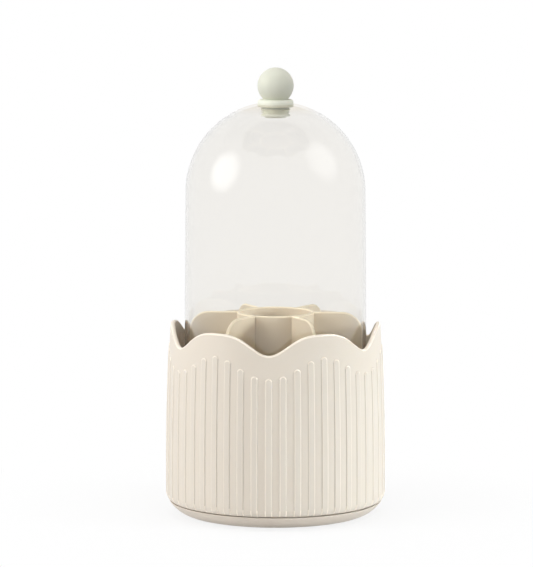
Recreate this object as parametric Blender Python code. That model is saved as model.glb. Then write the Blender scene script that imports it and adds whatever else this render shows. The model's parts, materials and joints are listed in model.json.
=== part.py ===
"""Rotating makeup brush holder.

A ribbed cup with a petal rim turns on a ball bearing over a low base. A six-way divider stands in
the cup, and a clear domed cover with a ball knob drops inside the rim. Metres, +Z up, the origin
on the ground under the middle, with a valley of the petal rim facing -Y.
"""

import math

import bmesh
import bpy
from mathutils import Matrix, Vector

# Clearances
FIT_GAP = 0.0003  # between pieces that sit on or in each other
SEAM_GAP = 0.0006  # open seam between the still base and the turning cup
OVERRUN = 0.002  # how far a cutter runs past what it cuts
MERGE_DISTANCE = 0.000001

# Facets round one turn
LARGE_STEPS = 48
SMALL_STEPS = 24
SCREW_STEPS = 12

# Outer shell
CUP_RADIUS = 0.0690  # plain wall at its widest, without the ribs
SHELL_WALL = 0.0024
TAPER_START = 0.0300
RIM_TAPER = 0.0027  # how much the wall draws in from there to the petal tops
PETAL_TOP = 0.1226
PETAL_DEPTH = 0.0124
PETAL_COUNT = 6
PETAL_ROUNDNESS = 1.5  # above 1 widens the petals and narrows the valleys
RIBS_PER_PETAL = 8
RIB_WIDTH = 0.0041
RIB_RELIEF = 0.0009
RIB_EDGE = 0.0004
RIB_DROP = 0.0143  # from a valley of the rim down to the tip of the rib under it
RIB_RISE = 0.0128  # how much higher the ribs under the petals' tops reach
RIB_RISE_FULLNESS = 1.1  # above 1 keeps more ribs low
RIB_TIP_SHARE = 0.5  # width of a rib's tip as a share of its width
BOSS_COUNT = 3
BOSS_INSET = 0.0071  # from the inner wall to a boss's middle
BOSS_RADIUS = 0.0034
BOSS_HEIGHT = 0.0135
BOSS_ROOF = 0.0033  # left over a boss's hole
FOOT_LAND = 0.0070  # height of the thick inner foot of the wall

# Base
BASE_TOP = 0.0087
BASE_PLATE = 0.0025
BASE_WALL = 0.0025
SKIRT_TOP = 0.0140  # where the rounded bottom edge ends in the upright wall
SKIRT_DEPTH = 0.0139  # how far that edge draws in, down to the flat underside
SKIRT_ROUNDNESS = 1.6  # exponent of the rounded edge: 1 is a chamfer, 2 an ellipse
SKIRT_POINTS = 6

# Feet
FOOT_COUNT = 4
FOOT_RADIUS = 0.0050
FOOT_INSET = 0.0080  # from the flat underside's edge to a foot's middle
FOOT_PROUD = 0.0005
FOOT_SUNK = 0.0008

# Ball bearing
BALL_COUNT = 8
BALL_RADIUS = 0.0025
TRACK_INSET = 0.0160  # from the flat underside's edge to the balls' circle
TRACK_WIDTH = 0.0100
TRACK_SLOPE = 0.0010
TRACK_RISE = 0.0026  # of the lower track over the base plate
TRACK_DROP = 0.0020  # of the upper track under the cup's floor
TRACK_OPENING = 0.0026  # between the two tracks
CAGE_RIM = 0.0010  # of the cage, beside its pockets
GROOVE_POINTS = 5

# Pivot
PIVOT_BOSS_RADIUS = 0.0055
PIVOT_ROOF = 0.0013  # left over the pivot screw's hole
BUSH_WALL = 0.0015
BUSH_FLANGE = 0.0010
BUSH_LAP = 0.0032  # of the bush's flange beyond its sleeve
THRUST_MARGIN = 0.0005  # of the thrust face beyond that flange
HUB_HEIGHT = 0.0030
HUB_SLEEVE = 0.0025  # of the hub round the washer's counterbore
COUNTERBORE_DEPTH = 0.0037
WASHER_LAP = 0.0014
WASHER_ROOM = 0.0010
WASHER_THICKNESS = 0.0010

# Screws of the base and the floor
SCREW_SHANK = 0.0015  # radius
SCREW_HEAD = 0.0030  # radius
SCREW_HEAD_HEIGHT = 0.0015
SCREW_TIP = 0.0010
SCREW_RECESS_REACH = 0.0016
SCREW_RECESS_WIDTH = 0.0008
SCREW_RECESS_DEPTH = 0.0008
SCREW_END_ROOM = 0.0010  # left beyond a screw's tip

# Floor of the cup
FLOOR_PLATE = 0.0022
LOCATING_RING_WALL = 0.0020
LOCATING_RING_HEIGHT = 0.0030

# Domed cover and its seat
COVER_DEPTH = 0.0282  # how far the cover reaches below the rim's valleys
DOME_STRAIGHT = 0.1237  # straight wall, from the foot to the equator
DOME_WALL = 0.0017
DOME_DRAFT = math.radians(0.5)
DOME_BANDS = 7
CROWN_SEAT_MARGIN = 0.0020  # of the dome's flat top round the knob's collar
SEAT_THICKNESS = 0.0024
SEAT_RIM = 0.0035  # outside the lip
SEAT_LIP_WALL = 0.0018
SEAT_LIP_HEIGHT = 0.0035
SEAT_FIN_ROOM = 0.0009
LEDGE_BITE = 0.0021  # of the shell's ledge under the seat
LEDGE_EDGE = 0.0012

# Divider
DIVIDER_PROUD = 0.0067  # over the petal tops
TUBE_RADIUS = 0.02445
TUBE_WALL = 0.0018
FIN_ROOM = 0.0006  # from a fin's edge to the cover
FIN_THICKNESS = 0.0020
FIN_CORNER = 0.0130
FIN_CORNER_POINTS = 6

# Knob
KNOB_RADIUS = 0.0115
KNOB_FLAT_INSET = 0.0035  # from the ball's side to the edge of the flat that it stands on
KNOB_BANDS = 8
COLLAR_INSET = 0.0001  # from the ball's side to the collar's edge
COLLAR_HEIGHT = 0.0031  # over the dome's flat top
COLLAR_ROUND = 0.0020
COLLAR_BANDS = 3
NECK_RADIUS = 0.0070  # of the collar's neck through the dome
GASKET_INSET = 0.0006  # from the nut's side
GASKET_THICKNESS = 0.0008
NUT_RADIUS = 0.0094
NUT_TAPER = 0.0003
NUT_DROP = 0.0070  # from the dome's flat underside to the nut's end
NUT_GROOVE_DEPTH = 0.0007
NUT_GROOVE_WIDTH = 0.0007
NUT_GROOVE_SHARES = (0.18, 0.48)  # places of the grooves along the nut
NUT_TIP_INSET = 0.0027
NUT_TIP_HEIGHT = 0.0010
KNOB_SCREW_HEAD = 0.0036
KNOB_SCREW_HEAD_HEIGHT = 0.0022
KNOB_SCREW_SHANK = 0.0020
KNOB_SCREW_SHORT = 0.0028  # from its tip to the ball's middle
KNOB_SCREW_SUNK = 0.0008

# Levels that follow from these, from the ground up
BASE_UNDERSIDE = FOOT_PROUD
BASE_FLOOR = BASE_UNDERSIDE + BASE_PLATE
LOWER_TRACK = BASE_FLOOR + TRACK_RISE
BALL_HEIGHT = LOWER_TRACK + TRACK_OPENING / 2
UPPER_TRACK = LOWER_TRACK + TRACK_OPENING
FLOOR_UNDERSIDE = UPPER_TRACK + TRACK_DROP
FLOOR_TOP = FLOOR_UNDERSIDE + FLOOR_PLATE
SHELL_FOOT = BASE_TOP + SEAM_GAP
HUB_UNDERSIDE = BASE_UNDERSIDE + COUNTERBORE_DEPTH
HUB_TOP = HUB_UNDERSIDE + HUB_HEIGHT
THRUST_FACE = HUB_TOP + BUSH_FLANGE + 2 * FIT_GAP
WASHER_TOP = HUB_UNDERSIDE - FIT_GAP
PIVOT_HEAD_TOP = WASHER_TOP - WASHER_THICKNESS - FIT_GAP
PIVOT_HOLE_END = FLOOR_TOP - PIVOT_ROOF
BOSS_FOOT = FLOOR_TOP + FIT_GAP
BOSS_HOLE_END = BOSS_FOOT + BOSS_HEIGHT - BOSS_ROOF
FLOOR_HEAD_TOP = FLOOR_UNDERSIDE - FIT_GAP
PETAL_VALLEY = PETAL_TOP - PETAL_DEPTH
DIVIDER_TOP = PETAL_TOP + DIVIDER_PROUD
DOME_FOOT = PETAL_VALLEY - COVER_DEPTH
DOME_EQUATOR = DOME_FOOT + DOME_STRAIGHT
SEAT_TOP = DOME_FOOT - FIT_GAP
LEDGE_TOP = SEAT_TOP - SEAT_THICKNESS - FIT_GAP

# Radii that follow from these, from the wall inwards
INNER_WALL = CUP_RADIUS - SHELL_WALL
SEAT_OUTER = INNER_WALL - RIM_TAPER - FIT_GAP  # drops in through the rim
LEDGE_INNER = SEAT_OUTER - LEDGE_BITE
SEAT_LIP_INNER = SEAT_OUTER - SEAT_RIM - SEAT_LIP_WALL
DOME_FOOT_RADIUS = SEAT_LIP_INNER - FIT_GAP
DOME_RADIUS = DOME_FOOT_RADIUS - DOME_STRAIGHT * math.tan(DOME_DRAFT)
BASE_FLAT_RADIUS = CUP_RADIUS + RIB_RELIEF - SKIRT_DEPTH
FOOT_CIRCLE = BASE_FLAT_RADIUS - FOOT_INSET
BALL_CIRCLE = BASE_FLAT_RADIUS - TRACK_INSET
BOSS_CIRCLE = INNER_WALL - BOSS_INSET
SCREW_HOLE = SCREW_SHANK + FIT_GAP
BUSH_INNER = PIVOT_BOSS_RADIUS + FIT_GAP
BUSH_OUTER = BUSH_INNER + BUSH_WALL
BUSH_FLANGE_RADIUS = BUSH_OUTER + BUSH_LAP
HUB_HOLE = BUSH_OUTER + FIT_GAP
WASHER_RADIUS = HUB_HOLE + WASHER_LAP
COUNTERBORE_RADIUS = WASHER_RADIUS + WASHER_ROOM

# Knob's levels and radii that follow from these
COLLAR_RADIUS = KNOB_RADIUS - COLLAR_INSET
CROWN_SEAT = COLLAR_RADIUS + CROWN_SEAT_MARGIN
CROWN_TOP = DOME_EQUATOR + math.sqrt(DOME_RADIUS**2 - CROWN_SEAT**2)
CROWN_UNDERSIDE = CROWN_TOP - DOME_WALL
COLLAR_TOP = CROWN_TOP + COLLAR_HEIGHT
GASKET_TOP = CROWN_UNDERSIDE - FIT_GAP
NUT_TOP = GASKET_TOP - GASKET_THICKNESS - FIT_GAP
NUT_END = CROWN_UNDERSIDE - NUT_DROP
KNOB_SEAT = COLLAR_TOP + FIT_GAP
KNOB_FLAT = KNOB_RADIUS - KNOB_FLAT_INSET
KNOB_HEIGHT = KNOB_SEAT + math.sqrt(KNOB_RADIUS**2 - KNOB_FLAT**2)
KNOB_HEAD_TOP = NUT_END + KNOB_SCREW_SUNK + KNOB_SCREW_HEAD_HEIGHT
KNOB_SCREW_TIP = KNOB_HEIGHT - KNOB_SCREW_SHORT
KNOB_SCREW_HOLE = KNOB_SCREW_SHANK + FIT_GAP
DOME_HOLE = NECK_RADIUS + FIT_GAP
PETAL_TURN = 2 * math.pi / PETAL_COUNT


def skirt_radius(height):
    """Radius of the rounded bottom edge, which runs through the base and the foot of the ribs."""
    widest = CUP_RADIUS + RIB_RELIEF
    down_share = min(max((SKIRT_TOP - height) / (SKIRT_TOP - BASE_UNDERSIDE), 0), 1)
    bulge = (1 - down_share**SKIRT_ROUNDNESS) ** (1 / SKIRT_ROUNDNESS)
    return BASE_FLAT_RADIUS + (widest - BASE_FLAT_RADIUS) * bulge


def wall_radius(height):
    """Radius of the shell's plain outer wall."""
    if height < SKIRT_TOP:
        return skirt_radius(height) - RIB_RELIEF
    taper_share = max(height - TAPER_START, 0) / (PETAL_TOP - TAPER_START)
    return CUP_RADIUS - RIM_TAPER * taper_share**2


def petal_share(angle):
    """How far an angle lies from a valley of the rim to a petal's top."""
    turn_share = angle / PETAL_TURN % 1
    return 1 - abs(2 * turn_share - 1)


def rim_height(angle):
    """Height of the petal rim at an angle from a valley."""
    rise_share = 1 - (1 - petal_share(angle)) ** PETAL_ROUNDNESS
    lift = (1 - math.cos(math.pi * rise_share)) / 2
    return PETAL_VALLEY + (PETAL_TOP - PETAL_VALLEY) * lift


def rib_tip(angle):
    """Height of a rib's tip at an angle from a valley."""
    lift = (1 - math.cos(math.pi * petal_share(angle) ** RIB_RISE_FULLNESS)) / 2
    return PETAL_VALLEY - RIB_DROP + RIB_RISE * lift


def dome_radius(height):
    """Outer radius of the cover's straight wall."""
    return DOME_FOOT_RADIUS - (height - DOME_FOOT) * math.tan(DOME_DRAFT)


def around(angle, radius, height):
    """The point at an angle from -Y, seen from above."""
    return Vector((radius * math.sin(angle), -radius * math.cos(angle), height))


def material(name, colour, roughness, metallic=0.0, transmission=0.0):
    made = bpy.data.materials.new(name)
    made.use_nodes = True
    shader = made.node_tree.nodes["Principled BSDF"]
    shader.inputs["Base Color"].default_value = (*colour, 1.0)
    shader.inputs["Roughness"].default_value = roughness
    shader.inputs["Metallic"].default_value = metallic
    shader.inputs["Transmission Weight"].default_value = transmission
    return made


def frame_empty(name, height, parent=None):
    """An empty on the vertical axis, which a group of pieces moves with."""
    empty = bpy.data.objects.new(name, None)
    bpy.context.collection.objects.link(empty)
    empty.parent = parent
    empty.location = (0, 0, height - (parent.matrix_world.translation.z if parent else 0))
    bpy.context.view_layer.update()
    return empty


def mesh_of(name, bm):
    """A mesh with its doubles merged and its faces outwards, smooth except at its edges."""
    bmesh.ops.remove_doubles(bm, verts=bm.verts, dist=MERGE_DISTANCE)
    bmesh.ops.recalc_face_normals(bm, faces=bm.faces)
    mesh = bpy.data.meshes.new(name)
    bm.to_mesh(mesh)
    bm.free()
    mesh.shade_smooth()
    mesh.set_sharp_from_angle(angle=math.radians(35))
    return mesh


def placed(name, mesh, parent, finish, at=(0, 0, 0), turn=0.0):
    obj = bpy.data.objects.new(name, mesh)
    bpy.context.collection.objects.link(obj)
    obj.parent = parent
    obj.matrix_parent_inverse = parent.matrix_world.inverted()
    obj.location = at
    obj.rotation_euler = (0, 0, turn)
    if not mesh.materials:
        mesh.materials.append(finish)
    return obj


def helper(name, mesh):
    """A cutter, or a shape that a Boolean joins to a piece."""
    obj = bpy.data.objects.new(name, mesh)
    bpy.context.collection.objects.link(obj)
    obj.hide_render = True
    obj.display_type = "WIRE"
    return obj


def combine(obj, other, operation):
    modifier = obj.modifiers.new(other.name, "BOOLEAN")
    modifier.operation = operation
    modifier.solver = "EXACT"
    modifier.object = other


def turned(name, outline, steps):
    """A solid of revolution about Z: an outline of (radius, height) that closes on itself, or one
    that starts and ends on the axis."""
    bm = bmesh.new()
    points = [bm.verts.new((radius, 0, height)) for radius, height in outline]
    ends = points[1:]
    if outline[0][0] > 0:
        ends.append(points[0])
    edges = [bm.edges.new(pair) for pair in zip(points, ends)]
    bmesh.ops.spin(
        bm, geom=points + edges, cent=(0, 0, 0), axis=(0, 0, 1), angle=2 * math.pi, steps=steps,
    )
    return mesh_of(name, bm)


def add_prism(bm, outline, low, high, matrix=None):
    """An outline of (x, y) points raised from low to high, then moved by a matrix."""
    floor = bm.faces.new([bm.verts.new((x, y, low)) for x, y in outline])
    raised = bmesh.ops.extrude_face_region(bm, geom=[floor])["geom"]
    top = [item for item in raised if isinstance(item, bmesh.types.BMVert)]
    bmesh.ops.translate(bm, verts=top, vec=(0, 0, high - low))
    if matrix is not None:
        bmesh.ops.transform(bm, matrix=matrix, verts=list(floor.verts) + top)


def circle(radius, steps, centre=(0, 0)):
    turns = [2 * math.pi * k / steps for k in range(steps)]
    return [(centre[0] + radius * math.cos(a), centre[1] + radius * math.sin(a)) for a in turns]


def round_cutters(name, count, circle_radius, radius, low, high, steps):
    """Upright cylinders on a circle about the axis, in one mesh."""
    bm = bmesh.new()
    for k in range(count):
        turn = Matrix.Rotation(2 * math.pi * k / count, 4, "Z")
        add_prism(bm, circle(radius, steps, (0, -circle_radius)), low, high, turn)
    return helper(name, mesh_of(name, bm))


def screw_mesh(name, head, head_height, shank, length, steps):
    """A pan-head screw that points up, with its head's seat at height 0, and its cross recess."""
    outline = [
        (0, length), (shank / 2, length), (shank, length - SCREW_TIP), (shank, 0),
        (head, 0), (head, -head_height / 2), (head * 3 / 4, -head_height), (0, -head_height),
    ]
    return turned(name, outline, steps)


def recess_cutter(name, head_height, at=(0, 0, 0)):
    """The plus-shaped prism that cuts a cross recess into a screw's head."""
    half = SCREW_RECESS_WIDTH / 2
    reach = SCREW_RECESS_REACH
    arm = [(half, half), (half, reach), (-half, reach), (-half, half)]
    outline = []
    for k in range(4):
        turn = Matrix.Rotation(math.pi / 2 * k, 2)
        outline += [tuple(turn @ Vector(point)) for point in arm[:3]]
    bm = bmesh.new()
    low = -head_height - OVERRUN
    add_prism(bm, outline, low, -head_height + SCREW_RECESS_DEPTH, Matrix.Translation(at))
    return helper(name, mesh_of(name, bm))


def groove(side):
    """The arc of a ball groove, from its inner to its outer edge, below (-1) or above (1)."""
    arc_radius = BALL_RADIUS + FIT_GAP
    edge = math.acos(TRACK_OPENING / 2 / arc_radius)
    angles = [edge * (2 * k / (GROOVE_POINTS - 1) - 1) for k in range(GROOVE_POINTS)]
    return [
        (BALL_CIRCLE + arc_radius * math.sin(a), BALL_HEIGHT + side * arc_radius * math.cos(a))
        for a in angles
    ]


def track(side, face, root):
    """A raised ring with a ball groove, from its inner to its outer foot."""
    inner = BALL_CIRCLE - TRACK_WIDTH / 2
    outer = BALL_CIRCLE + TRACK_WIDTH / 2
    return [
        (inner, root), (inner + TRACK_SLOPE, face), *groove(side),
        (outer - TRACK_SLOPE, face), (outer, root),
    ]


def base_dish(parent, finish):
    heights = [
        BASE_TOP + (BASE_UNDERSIDE - BASE_TOP) * math.sin(math.pi / 2 * k / SKIRT_POINTS)
        for k in range(SKIRT_POINTS + 1)
    ]
    skirt = [(skirt_radius(height), height) for height in heights]
    hub_outer = COUNTERBORE_RADIUS + HUB_SLEEVE
    inner_top = skirt_radius(BASE_TOP) - BASE_WALL
    inner_foot = skirt_radius(BASE_FLOOR) - BASE_WALL
    outline = [
        (HUB_HOLE, HUB_UNDERSIDE), (HUB_HOLE, HUB_TOP), (hub_outer, HUB_TOP),
        (hub_outer, BASE_FLOOR), *track(-1, LOWER_TRACK, BASE_FLOOR),
        (inner_foot, BASE_FLOOR), (inner_top, BASE_TOP), *skirt,
        (COUNTERBORE_RADIUS, BASE_UNDERSIDE), (COUNTERBORE_RADIUS, HUB_UNDERSIDE),
    ]
    dish = placed("base_dish", turned("base_dish", outline, LARGE_STEPS), parent, finish)
    pockets = round_cutters(
        "foot_pockets", FOOT_COUNT, FOOT_CIRCLE, FOOT_RADIUS + FIT_GAP,
        BASE_UNDERSIDE - OVERRUN, BASE_UNDERSIDE + FOOT_SUNK + FIT_GAP, SMALL_STEPS,
    )
    pockets.rotation_euler = (0, 0, math.pi / FOOT_COUNT)
    combine(dish, pockets, "DIFFERENCE")


def feet(parent, finish):
    thickness = FOOT_PROUD + FOOT_SUNK
    outline = [(0, thickness), (FOOT_RADIUS, thickness), (FOOT_RADIUS, 0), (0, 0)]
    mesh = turned("foot", outline, SMALL_STEPS)
    for k in range(FOOT_COUNT):
        at = around(2 * math.pi * (k + 0.5) / FOOT_COUNT, FOOT_CIRCLE, 0)
        placed(f"foot_{k + 1}", mesh, parent, finish, at)


def pivot_bush(parent, finish):
    flange = HUB_TOP + FIT_GAP
    outline = [
        (BUSH_INNER, flange + BUSH_FLANGE), (BUSH_FLANGE_RADIUS, flange + BUSH_FLANGE),
        (BUSH_FLANGE_RADIUS, flange), (BUSH_OUTER, flange),
        (BUSH_OUTER, HUB_UNDERSIDE + FIT_GAP), (BUSH_INNER, HUB_UNDERSIDE + FIT_GAP),
    ]
    placed("pivot_bush", turned("pivot_bush", outline, SMALL_STEPS), parent, finish)


def pivot_washer(parent, finish):
    low = WASHER_TOP - WASHER_THICKNESS
    outline = [
        (SCREW_HOLE, WASHER_TOP), (WASHER_RADIUS, WASHER_TOP), (WASHER_RADIUS, low),
        (SCREW_HOLE, low),
    ]
    placed("pivot_washer", turned("pivot_washer", outline, SMALL_STEPS), parent, finish)


def pivot_screw(parent, finish):
    length = PIVOT_HOLE_END - SCREW_END_ROOM - PIVOT_HEAD_TOP
    mesh = screw_mesh(
        "pivot_screw", SCREW_HEAD, SCREW_HEAD_HEIGHT, SCREW_SHANK, length, SCREW_STEPS
    )
    at = (0, 0, PIVOT_HEAD_TOP)
    screw = placed("pivot_screw", mesh, parent, finish, at)
    combine(screw, recess_cutter("pivot_recess", SCREW_HEAD_HEIGHT, at), "DIFFERENCE")


def bearing(parent, cage_finish, ball_finish):
    """The balls and the flat ring that keeps them apart."""
    half = TRACK_OPENING / 2 - FIT_GAP
    inner = BALL_CIRCLE - BALL_RADIUS - FIT_GAP - CAGE_RIM
    outer = BALL_CIRCLE + BALL_RADIUS + FIT_GAP + CAGE_RIM
    low = BALL_HEIGHT - half
    high = BALL_HEIGHT + half
    outline = [(inner, high), (outer, high), (outer, low), (inner, low)]
    cage = placed("ball_cage", turned("ball_cage", outline, LARGE_STEPS), parent, cage_finish)
    pockets = round_cutters(
        "ball_pockets", BALL_COUNT, BALL_CIRCLE, BALL_RADIUS + FIT_GAP,
        low - OVERRUN, high + OVERRUN, SCREW_STEPS,
    )
    combine(cage, pockets, "DIFFERENCE")
    bm = bmesh.new()
    bmesh.ops.create_uvsphere(bm, u_segments=SCREW_STEPS, v_segments=6, radius=BALL_RADIUS)
    mesh = mesh_of("ball", bm)
    for k in range(BALL_COUNT):
        at = around(2 * math.pi * k / BALL_COUNT, BALL_CIRCLE, BALL_HEIGHT)
        placed(f"ball_{k + 1}", mesh, parent, ball_finish, at)


def cup_floor(parent, finish):
    ring_outer = TUBE_RADIUS - TUBE_WALL - FIT_GAP
    ring_inner = ring_outer - LOCATING_RING_WALL
    ring_top = FLOOR_TOP + LOCATING_RING_HEIGHT
    edge = wall_radius(SHELL_FOOT) - SHELL_WALL - FIT_GAP
    thrust_radius = BUSH_FLANGE_RADIUS + THRUST_MARGIN
    outline = [
        (0, FLOOR_TOP), (ring_inner, FLOOR_TOP), (ring_inner, ring_top), (ring_outer, ring_top),
        (ring_outer, FLOOR_TOP), (edge, FLOOR_TOP), (edge, FLOOR_UNDERSIDE),
        *reversed(track(1, UPPER_TRACK, FLOOR_UNDERSIDE)),
        (thrust_radius, FLOOR_UNDERSIDE), (thrust_radius, THRUST_FACE),
        (PIVOT_BOSS_RADIUS, THRUST_FACE), (PIVOT_BOSS_RADIUS, HUB_UNDERSIDE),
        (SCREW_HOLE, HUB_UNDERSIDE), (SCREW_HOLE, PIVOT_HOLE_END), (0, PIVOT_HOLE_END),
    ]
    floor = placed("cup_floor", turned("cup_floor", outline, LARGE_STEPS), parent, finish)
    holes = round_cutters(
        "floor_screw_holes", BOSS_COUNT, BOSS_CIRCLE, SCREW_HOLE,
        FLOOR_UNDERSIDE - OVERRUN, FLOOR_TOP + OVERRUN, SCREW_STEPS,
    )
    combine(floor, holes, "DIFFERENCE")


def floor_screws(parent, finish):
    length = BOSS_HOLE_END - SCREW_END_ROOM - FLOOR_HEAD_TOP
    mesh = screw_mesh(
        "floor_screw", SCREW_HEAD, SCREW_HEAD_HEIGHT, SCREW_SHANK, length, SCREW_STEPS
    )
    for k in range(BOSS_COUNT):
        at = around(2 * math.pi * k / BOSS_COUNT, BOSS_CIRCLE, FLOOR_HEAD_TOP)
        screw = placed(f"floor_screw_{k + 1}", mesh, parent, finish, at)
        recess = recess_cutter(f"floor_recess_{k + 1}", SCREW_HEAD_HEIGHT, at)
        combine(screw, recess, "DIFFERENCE")


def shell_rows():
    """The outer wall from its foot to its rim. Each row has four points to a rib: the foot and the
    top of its left side, then those of its right side."""
    pitch = PETAL_TURN / RIBS_PER_PETAL
    half = RIB_WIDTH / 2 / CUP_RADIUS
    foot = half + RIB_EDGE / CUP_RADIUS
    full = (-foot, -half, half, foot)
    tip = tuple(RIB_TIP_SHARE * offset for offset in full)
    even = tuple(pitch * share for share in (-0.375, -0.125, 0.125, 0.375))
    upper = PETAL_VALLEY - RIB_DROP - RIB_WIDTH
    levels = [
        SHELL_FOOT, (SHELL_FOOT + SKIRT_TOP) / 2, SKIRT_TOP, TAPER_START,
        (TAPER_START + upper) / 2, upper,
    ]
    plan = [(full, lambda angle, level=level: level, True) for level in levels]
    plan += [
        (full, lambda angle: rib_tip(angle) - RIB_WIDTH / 2, True),
        (tip, rib_tip, True),
        (tip, lambda angle: rib_tip(angle) + RIB_EDGE, False),
    ]
    ribs = [pitch * k for k in range(PETAL_COUNT * RIBS_PER_PETAL)]
    rows = []
    for offsets, height_at, ribbed in plan:
        row = []
        for rib in ribs:
            height = height_at(rib)
            for place, offset in enumerate(offsets):
                raised = RIB_RELIEF if ribbed and place in (1, 2) else 0
                row.append(around(rib + offset, wall_radius(height) + raised, height))
        rows.append(row)
    angles = [rib + offset for rib in ribs for offset in even]
    heights = [rim_height(angle) for angle in angles]
    rows.append([around(a, wall_radius(h), h) for a, h in zip(angles, heights)])
    return rows


def lining_rows():
    """The inner wall from its rim, past the ledge of the cover's seat, to its foot. Each row has
    two points to a rib."""
    pitch = PETAL_TURN / RIBS_PER_PETAL
    angles = [
        pitch * (k + share)
        for k in range(PETAL_COUNT * RIBS_PER_PETAL) for share in (-0.25, 0.25)
    ]
    rim = [rim_height(angle) for angle in angles]
    rows = [[around(a, wall_radius(h) - SHELL_WALL, h) for a, h in zip(angles, rim)]]
    foot_radius = wall_radius(SHELL_FOOT) - SHELL_WALL
    land_top = SHELL_FOOT + FOOT_LAND
    ledge_wall = wall_radius(LEDGE_TOP) - SHELL_WALL
    ledge_low = LEDGE_TOP - LEDGE_EDGE
    profile = [
        (ledge_wall, LEDGE_TOP), (LEDGE_INNER, LEDGE_TOP), (LEDGE_INNER, ledge_low),
        (ledge_wall, ledge_low - (ledge_wall - LEDGE_INNER)),
        (INNER_WALL, land_top + INNER_WALL - foot_radius), (foot_radius, land_top),
        (foot_radius, SHELL_FOOT),
    ]
    rows += [[around(angle, *point) for angle in angles] for point in profile]
    return rows


def band(bm, lower, upper):
    """Faces between two rows with as many points."""
    for k in range(len(lower)):
        after = (k + 1) % len(lower)
        bm.faces.new((lower[k], lower[after], upper[after], upper[k]))


def stitch(bm, outer, inner):
    """Faces between a row with four points to a rib and one with two."""
    for k in range(len(inner) // 2):
        o = [outer[(4 * k + place) % len(outer)] for place in range(5)]
        i = [inner[(2 * k + place) % len(inner)] for place in range(3)]
        bm.faces.new((o[0], o[1], i[0]))
        bm.faces.new((o[1], o[2], i[1], i[0]))
        bm.faces.new((o[2], o[3], i[1]))
        bm.faces.new((o[3], o[4], i[2], i[1]))


def boss_outline(steps):
    """A boss with a straight-sided web that runs out into the wall, towards -Y."""
    turns = [math.pi * k / steps for k in range(steps + 1)]
    web_end = CUP_RADIUS - SHELL_WALL / 2
    nose = [
        (BOSS_RADIUS * math.cos(turn), -BOSS_CIRCLE + BOSS_RADIUS * math.sin(turn))
        for turn in turns
    ]
    return [*nose, (-BOSS_RADIUS, -web_end), (BOSS_RADIUS, -web_end)]


def outer_shell(parent, finish):
    bm = bmesh.new()
    outside = [[bm.verts.new(point) for point in row] for row in shell_rows()]
    inside = [[bm.verts.new(point) for point in row] for row in lining_rows()]
    for rows in (outside, inside):
        for lower, upper in zip(rows, rows[1:]):
            band(bm, lower, upper)
    stitch(bm, outside[-1], inside[0])
    stitch(bm, outside[0], inside[-1])
    shell = placed("outer_shell", mesh_of("outer_shell", bm), parent, finish)
    bm = bmesh.new()
    for k in range(BOSS_COUNT):
        turn = Matrix.Rotation(2 * math.pi * k / BOSS_COUNT, 4, "Z")
        add_prism(bm, boss_outline(SCREW_STEPS // 2), BOSS_FOOT, BOSS_FOOT + BOSS_HEIGHT, turn)
    combine(shell, helper("screw_bosses", mesh_of("screw_bosses", bm)), "UNION")
    holes = round_cutters(
        "boss_holes", BOSS_COUNT, BOSS_CIRCLE, SCREW_HOLE,
        BOSS_FOOT - OVERRUN, BOSS_HOLE_END, SCREW_STEPS,
    )
    combine(shell, holes, "DIFFERENCE")


def fin_reach():
    """Radius of the fins' outer edges, just inside the cover at the divider's top."""
    return dome_radius(DIVIDER_TOP) - DOME_WALL - FIN_ROOM


def fin_outline():
    """A fin in its own plane, as (reach, height): from inside the tube's wall to its rounded top
    corner and down its outer edge."""
    low = FLOOR_TOP + FIT_GAP
    root = TUBE_RADIUS - TUBE_WALL / 2
    reach = fin_reach()
    corner = (reach - FIN_CORNER, DIVIDER_TOP - FIN_CORNER)
    turns = [math.pi / 2 * k / FIN_CORNER_POINTS for k in range(FIN_CORNER_POINTS + 1)]
    arc = [
        (corner[0] + FIN_CORNER * math.cos(turn), corner[1] + FIN_CORNER * math.sin(turn))
        for turn in turns
    ]
    return [(root, low), (reach, low), *arc, (root, DIVIDER_TOP)]


def divider(parent, finish):
    low = FLOOR_TOP + FIT_GAP
    inner = TUBE_RADIUS - TUBE_WALL
    outline = [(inner, DIVIDER_TOP), (TUBE_RADIUS, DIVIDER_TOP), (TUBE_RADIUS, low), (inner, low)]
    tube = placed("divider", turned("divider", outline, LARGE_STEPS), parent, finish)
    upright = Matrix.Rotation(math.pi / 2, 4, "X")
    bm = bmesh.new()
    for k in range(PETAL_COUNT):
        turn = Matrix.Rotation(PETAL_TURN * k, 4, "Z") @ upright
        add_prism(bm, fin_outline(), -FIN_THICKNESS / 2, FIN_THICKNESS / 2, turn)
    combine(tube, helper("divider_fins", mesh_of("divider_fins", bm)), "UNION")


def cover_seat(parent, finish):
    shelf_inner = fin_reach() + SEAT_FIN_ROOM
    lip_outer = SEAT_LIP_INNER + SEAT_LIP_WALL
    lip_top = SEAT_TOP + SEAT_LIP_HEIGHT
    low = SEAT_TOP - SEAT_THICKNESS
    outline = [
        (shelf_inner, SEAT_TOP), (SEAT_LIP_INNER, SEAT_TOP), (SEAT_LIP_INNER, lip_top),
        (lip_outer, lip_top), (lip_outer, SEAT_TOP), (SEAT_OUTER, SEAT_TOP),
        (SEAT_OUTER, low), (shelf_inner, low),
    ]
    placed("cover_seat", turned("cover_seat", outline, LARGE_STEPS), parent, finish)


def dome_outline(sphere, top):
    """Half of a dome from its flat top at the screw's hole down to the equator."""
    first = math.acos((top - DOME_EQUATOR) / sphere)
    turns = [first + (math.pi / 2 - first) * k / DOME_BANDS for k in range(DOME_BANDS + 1)]
    curve = [(sphere * math.sin(a), DOME_EQUATOR + sphere * math.cos(a)) for a in turns]
    return [(DOME_HOLE, top), *curve]


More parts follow.
